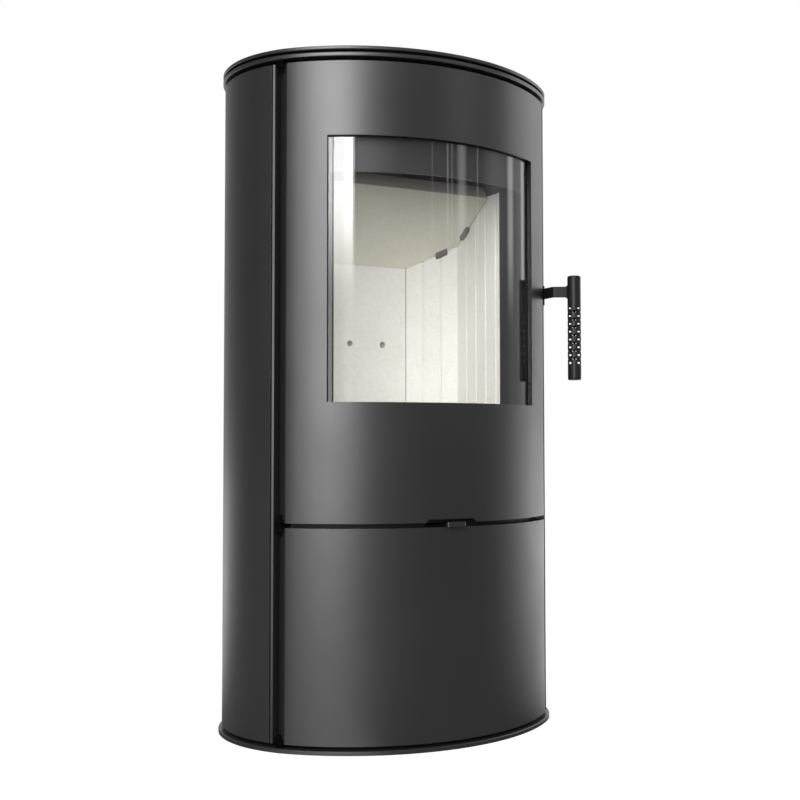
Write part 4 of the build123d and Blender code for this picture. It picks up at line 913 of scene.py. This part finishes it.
# %% [markdown]
# ## The room's light
#
# A dark satin stove is drawn by what it mirrors. To the camera, straight or through one sheet of
# glass, the world is plain white. To the paint it is a studio: bright behind and beside the stove,
# dim in front and to the right of the camera, where the door shows its dark band. For soft light
# on boards and floor it is even, a little below white. A photographed studio could wrap the world
# instead, but levels by compass need no image and can be set one by one.

# %% World: white to look at, a studio to mirror
world = bpy.data.worlds.new("studio")
bpy.context.scene.world = world
world.use_nodes = True
tree = world.node_tree
tree.nodes.clear()
direction = tree.nodes.new("ShaderNodeTexCoord")
MIRRORED = [(-180, 0.6), (-150, 0.28), (-120, 0.1), (-95, 0.07), (-60, 0.2), (-40, 0.2), (0, 0.06),
            (25, 0.12), (70, 0.14), (92, 0.33), (104, 1.0), (125, 1.0), (180, 0.6)]
studio = compass_levels(tree, direction.outputs["Generated"], MIRRORED)
print("studio has", len(MIRRORED), "compass points")

# %% Choose by the kind of ray
AMBIENT = 0.85
seen, reflection = kinds_of_ray(tree)
mirrored = tree.nodes.new("ShaderNodeMix")
mirrored.data_type = "RGBA"
mirrored.inputs["A"].default_value = (AMBIENT, AMBIENT, AMBIENT, 1.0)
tree.links.new(reflection, mirrored.inputs["Factor"])
tree.links.new(studio, mirrored.inputs["B"])
shown = tree.nodes.new("ShaderNodeMix")
shown.data_type = "RGBA"
shown.inputs["B"].default_value = (1.0, 1.0, 1.0, 1.0)
tree.links.new(seen, shown.inputs["Factor"])
tree.links.new(mirrored.outputs["Result"], shown.inputs["A"])
sky = tree.nodes.new("ShaderNodeBackground")
tree.links.new(shown.outputs["Result"], sky.inputs["Color"])
world_end = tree.nodes.new("ShaderNodeOutputWorld")
tree.links.new(sky.outputs["Background"], world_end.inputs["Surface"])
print("ambient", AMBIENT)

# %% [markdown]
# ## Tall softboxes
#
# The bright upright bands on the door are mirror images of tall softboxes. They stand in front of
# the stove to the left and reach well above it, so the bands are strongest at the top and fade
# towards the floor. They also light the boards through the glass. Bright cards would mirror the
# same, but lamps can be kept off one piece or lit for it alone, and cost less noise.

# %% Place a softbox by compass and height
LAMP_DISTANCE = 3.2
LAMP_HEIGHTS = (0.3, 3.9)


def softbox(name, compass_degrees, low, high, width, glow):
    """A rectangular lamp that faces the stove. Its power is glow * pi * area, so glow is how
    bright it looks in a mirror, where white is 1."""
    lamp = bpy.data.lights.new(name, "AREA")
    lamp.shape = "RECTANGLE"
    lamp.size, lamp.size_y = width, high - low
    lamp.energy = glow * pi * width * (high - low)
    stand = bpy.data.objects.new(name, lamp)
    bpy.context.scene.collection.objects.link(stand)
    turn = radians(compass_degrees)
    stand.location = (LAMP_DISTANCE * np.sin(turn), -LAMP_DISTANCE * np.cos(turn), (low + high) / 2)
    stand.rotation_euler = (pi / 2, 0.0, turn)
    stand.visible_camera = False
    stand.visible_transmission = False
    print(name, "at", compass_degrees, "degrees,", round(lamp.energy), "W")
    return stand


def feather(lamp, dim_to, full_from, rest, soft_sides):
    """Fade a softbox towards its lower end: its own height runs from 0 to 1, only a rest of light
    below dim_to and full above full_from. Soft sides multiply it by sin(pi * width share)."""
    lamp.use_nodes = True
    tree = lamp.node_tree
    share = axes(tree, tree.nodes.new("ShaderNodeNewGeometry").outputs["Parametric"])
    level = spread(tree, share["Y"], low=rest, start=dim_to, end=full_from, curve="SMOOTHSTEP")
    if soft_sides:
        sides = maths(tree, "SINE", maths(tree, "MULTIPLY", share["X"], pi))
        level = maths(tree, "MULTIPLY", level, sides)
    tree.links.new(level, tree.nodes["Emission"].inputs["Strength"])


def tall_lamps(title, panels):
    """One softbox for each row: compass degrees, width, glow, dim_to, full_from, rest, soft_sides."""
    lamps = []
    for number, (turn, width, glow, *feathering) in enumerate(panels, 1):
        lamps.append(softbox("%s_%d" % (title, number), turn, *LAMP_HEIGHTS, width, glow))
        feather(lamps[-1].data, *feathering)
    return lamps


tall_lamps("tall_softbox", [
    (-45.2, 0.66, 8.5, 0.2, 0.33, 0.3, False),
    (-35.4, 0.33, 8.0, 0.2, 0.33, 0.04, False),
    (-30.2, 0.26, 10.5, 0.2, 0.33, 0.04, False)])

# %% [markdown]
# The window mirrors more than the paint does: thin streaks on its right half, and panels at its
# left and right edges that the door itself doesn't show. The streaks are narrow strips. The panels
# are linked to the glass alone, and two softboxes for the paint are kept off it. Bending the glass
# to catch other lamps would change its real shape. A last lamp fills the hearth with soft light.

# %% Narrow strips for the glass
tall_lamps("strip", [
    (18.0, 0.07, 0.7, 0.245, 0.29, 0.04, True),
    (27.8, 0.09, 1.2, 0.245, 0.29, 0.04, True),
    (30.6, 0.08, 0.9, 0.245, 0.29, 0.04, True),
    (37.2, 0.42, 1.45, 0.235, 0.3, 0.04, True),
    (48.5, 0.07, 1.0, 0.235, 0.28, 0.04, True),
    (76.5, 0.42, 1.9, 0.16, 0.28, 0.04, True),
    (90.0, 0.3, 1.4, 0.08, 0.24, 0.04, True)])

# %% Softboxes that only the glass mirrors
on_the_glass = bpy.data.collections.new("only on the glass")
on_the_glass.objects.link(nodes["door_glass"])
for lamp in tall_lamps("glass_softbox", [
        (-45.6, 0.26, 5.0, 0.16, 0.3, 0.5, False),
        (-33.0, 0.70, 4.5, 0.17, 0.34, 0.03, False),
        (63.0, 1.3, 0.4, 0.14, 0.32, 0.25, True),
        (86.0, 1.5, 0.28, 0.05, 0.33, 0.25, True)]):
    lamp.light_linking.receiver_collection = on_the_glass

# %% Two softboxes that the glass does not mirror
off_the_glass = bpy.data.collections.new("kept off the glass")
off_the_glass.objects.link(nodes["door_glass"])
off_the_glass.collection_objects[0].light_linking.link_state = "EXCLUDE"
for lamp in (softbox("low_softbox", -40.0, low=0.05, high=1.15, width=1.36, glow=3.5),
             softbox("side_softbox", 90.0, low=0.05, high=2.8, width=1.5, glow=0.9)):
    lamp.light_linking.receiver_collection = off_the_glass

# %% A fill light for the hearth, which nothing mirrors
hearth_fill = softbox("hearth_fill", -15.0, low=0.15, high=1.35, width=1.3, glow=5.0)
hearth_fill.visible_glossy = False

# %% [markdown]
# ## The camera
#
# The photograph was solved as a perspective view of the oval body, which gave the lens, the place
# and the small shift below. Placing it by eye is quicker, but leaves every edge some pixels off.
# The camera stands low, to the left of the door's middle, and looks up by two and a half degrees.

# %% Camera
LOOK_UP, LOOK_RIGHT = 0.04383, 0.4795
camera_data = bpy.data.cameras.new("camera")
camera_data.sensor_width = 36.0
camera_data.lens = 53.337
camera_data.shift_x = 0.0204
camera_data.shift_y = -0.0093
camera = bpy.data.objects.new("camera", camera_data)
bpy.context.scene.collection.objects.link(camera)
camera.location = (-0.8737, -1.6651, 0.4316)
camera.rotation_euler = (pi / 2 + LOOK_UP, 0.0, -LOOK_RIGHT)
bpy.context.scene.camera = camera
bpy.context.scene.view_settings.view_transform = "Standard"
print("lens", camera_data.lens, "mm, looks up", round(degrees(LOOK_UP), 1), "degrees")
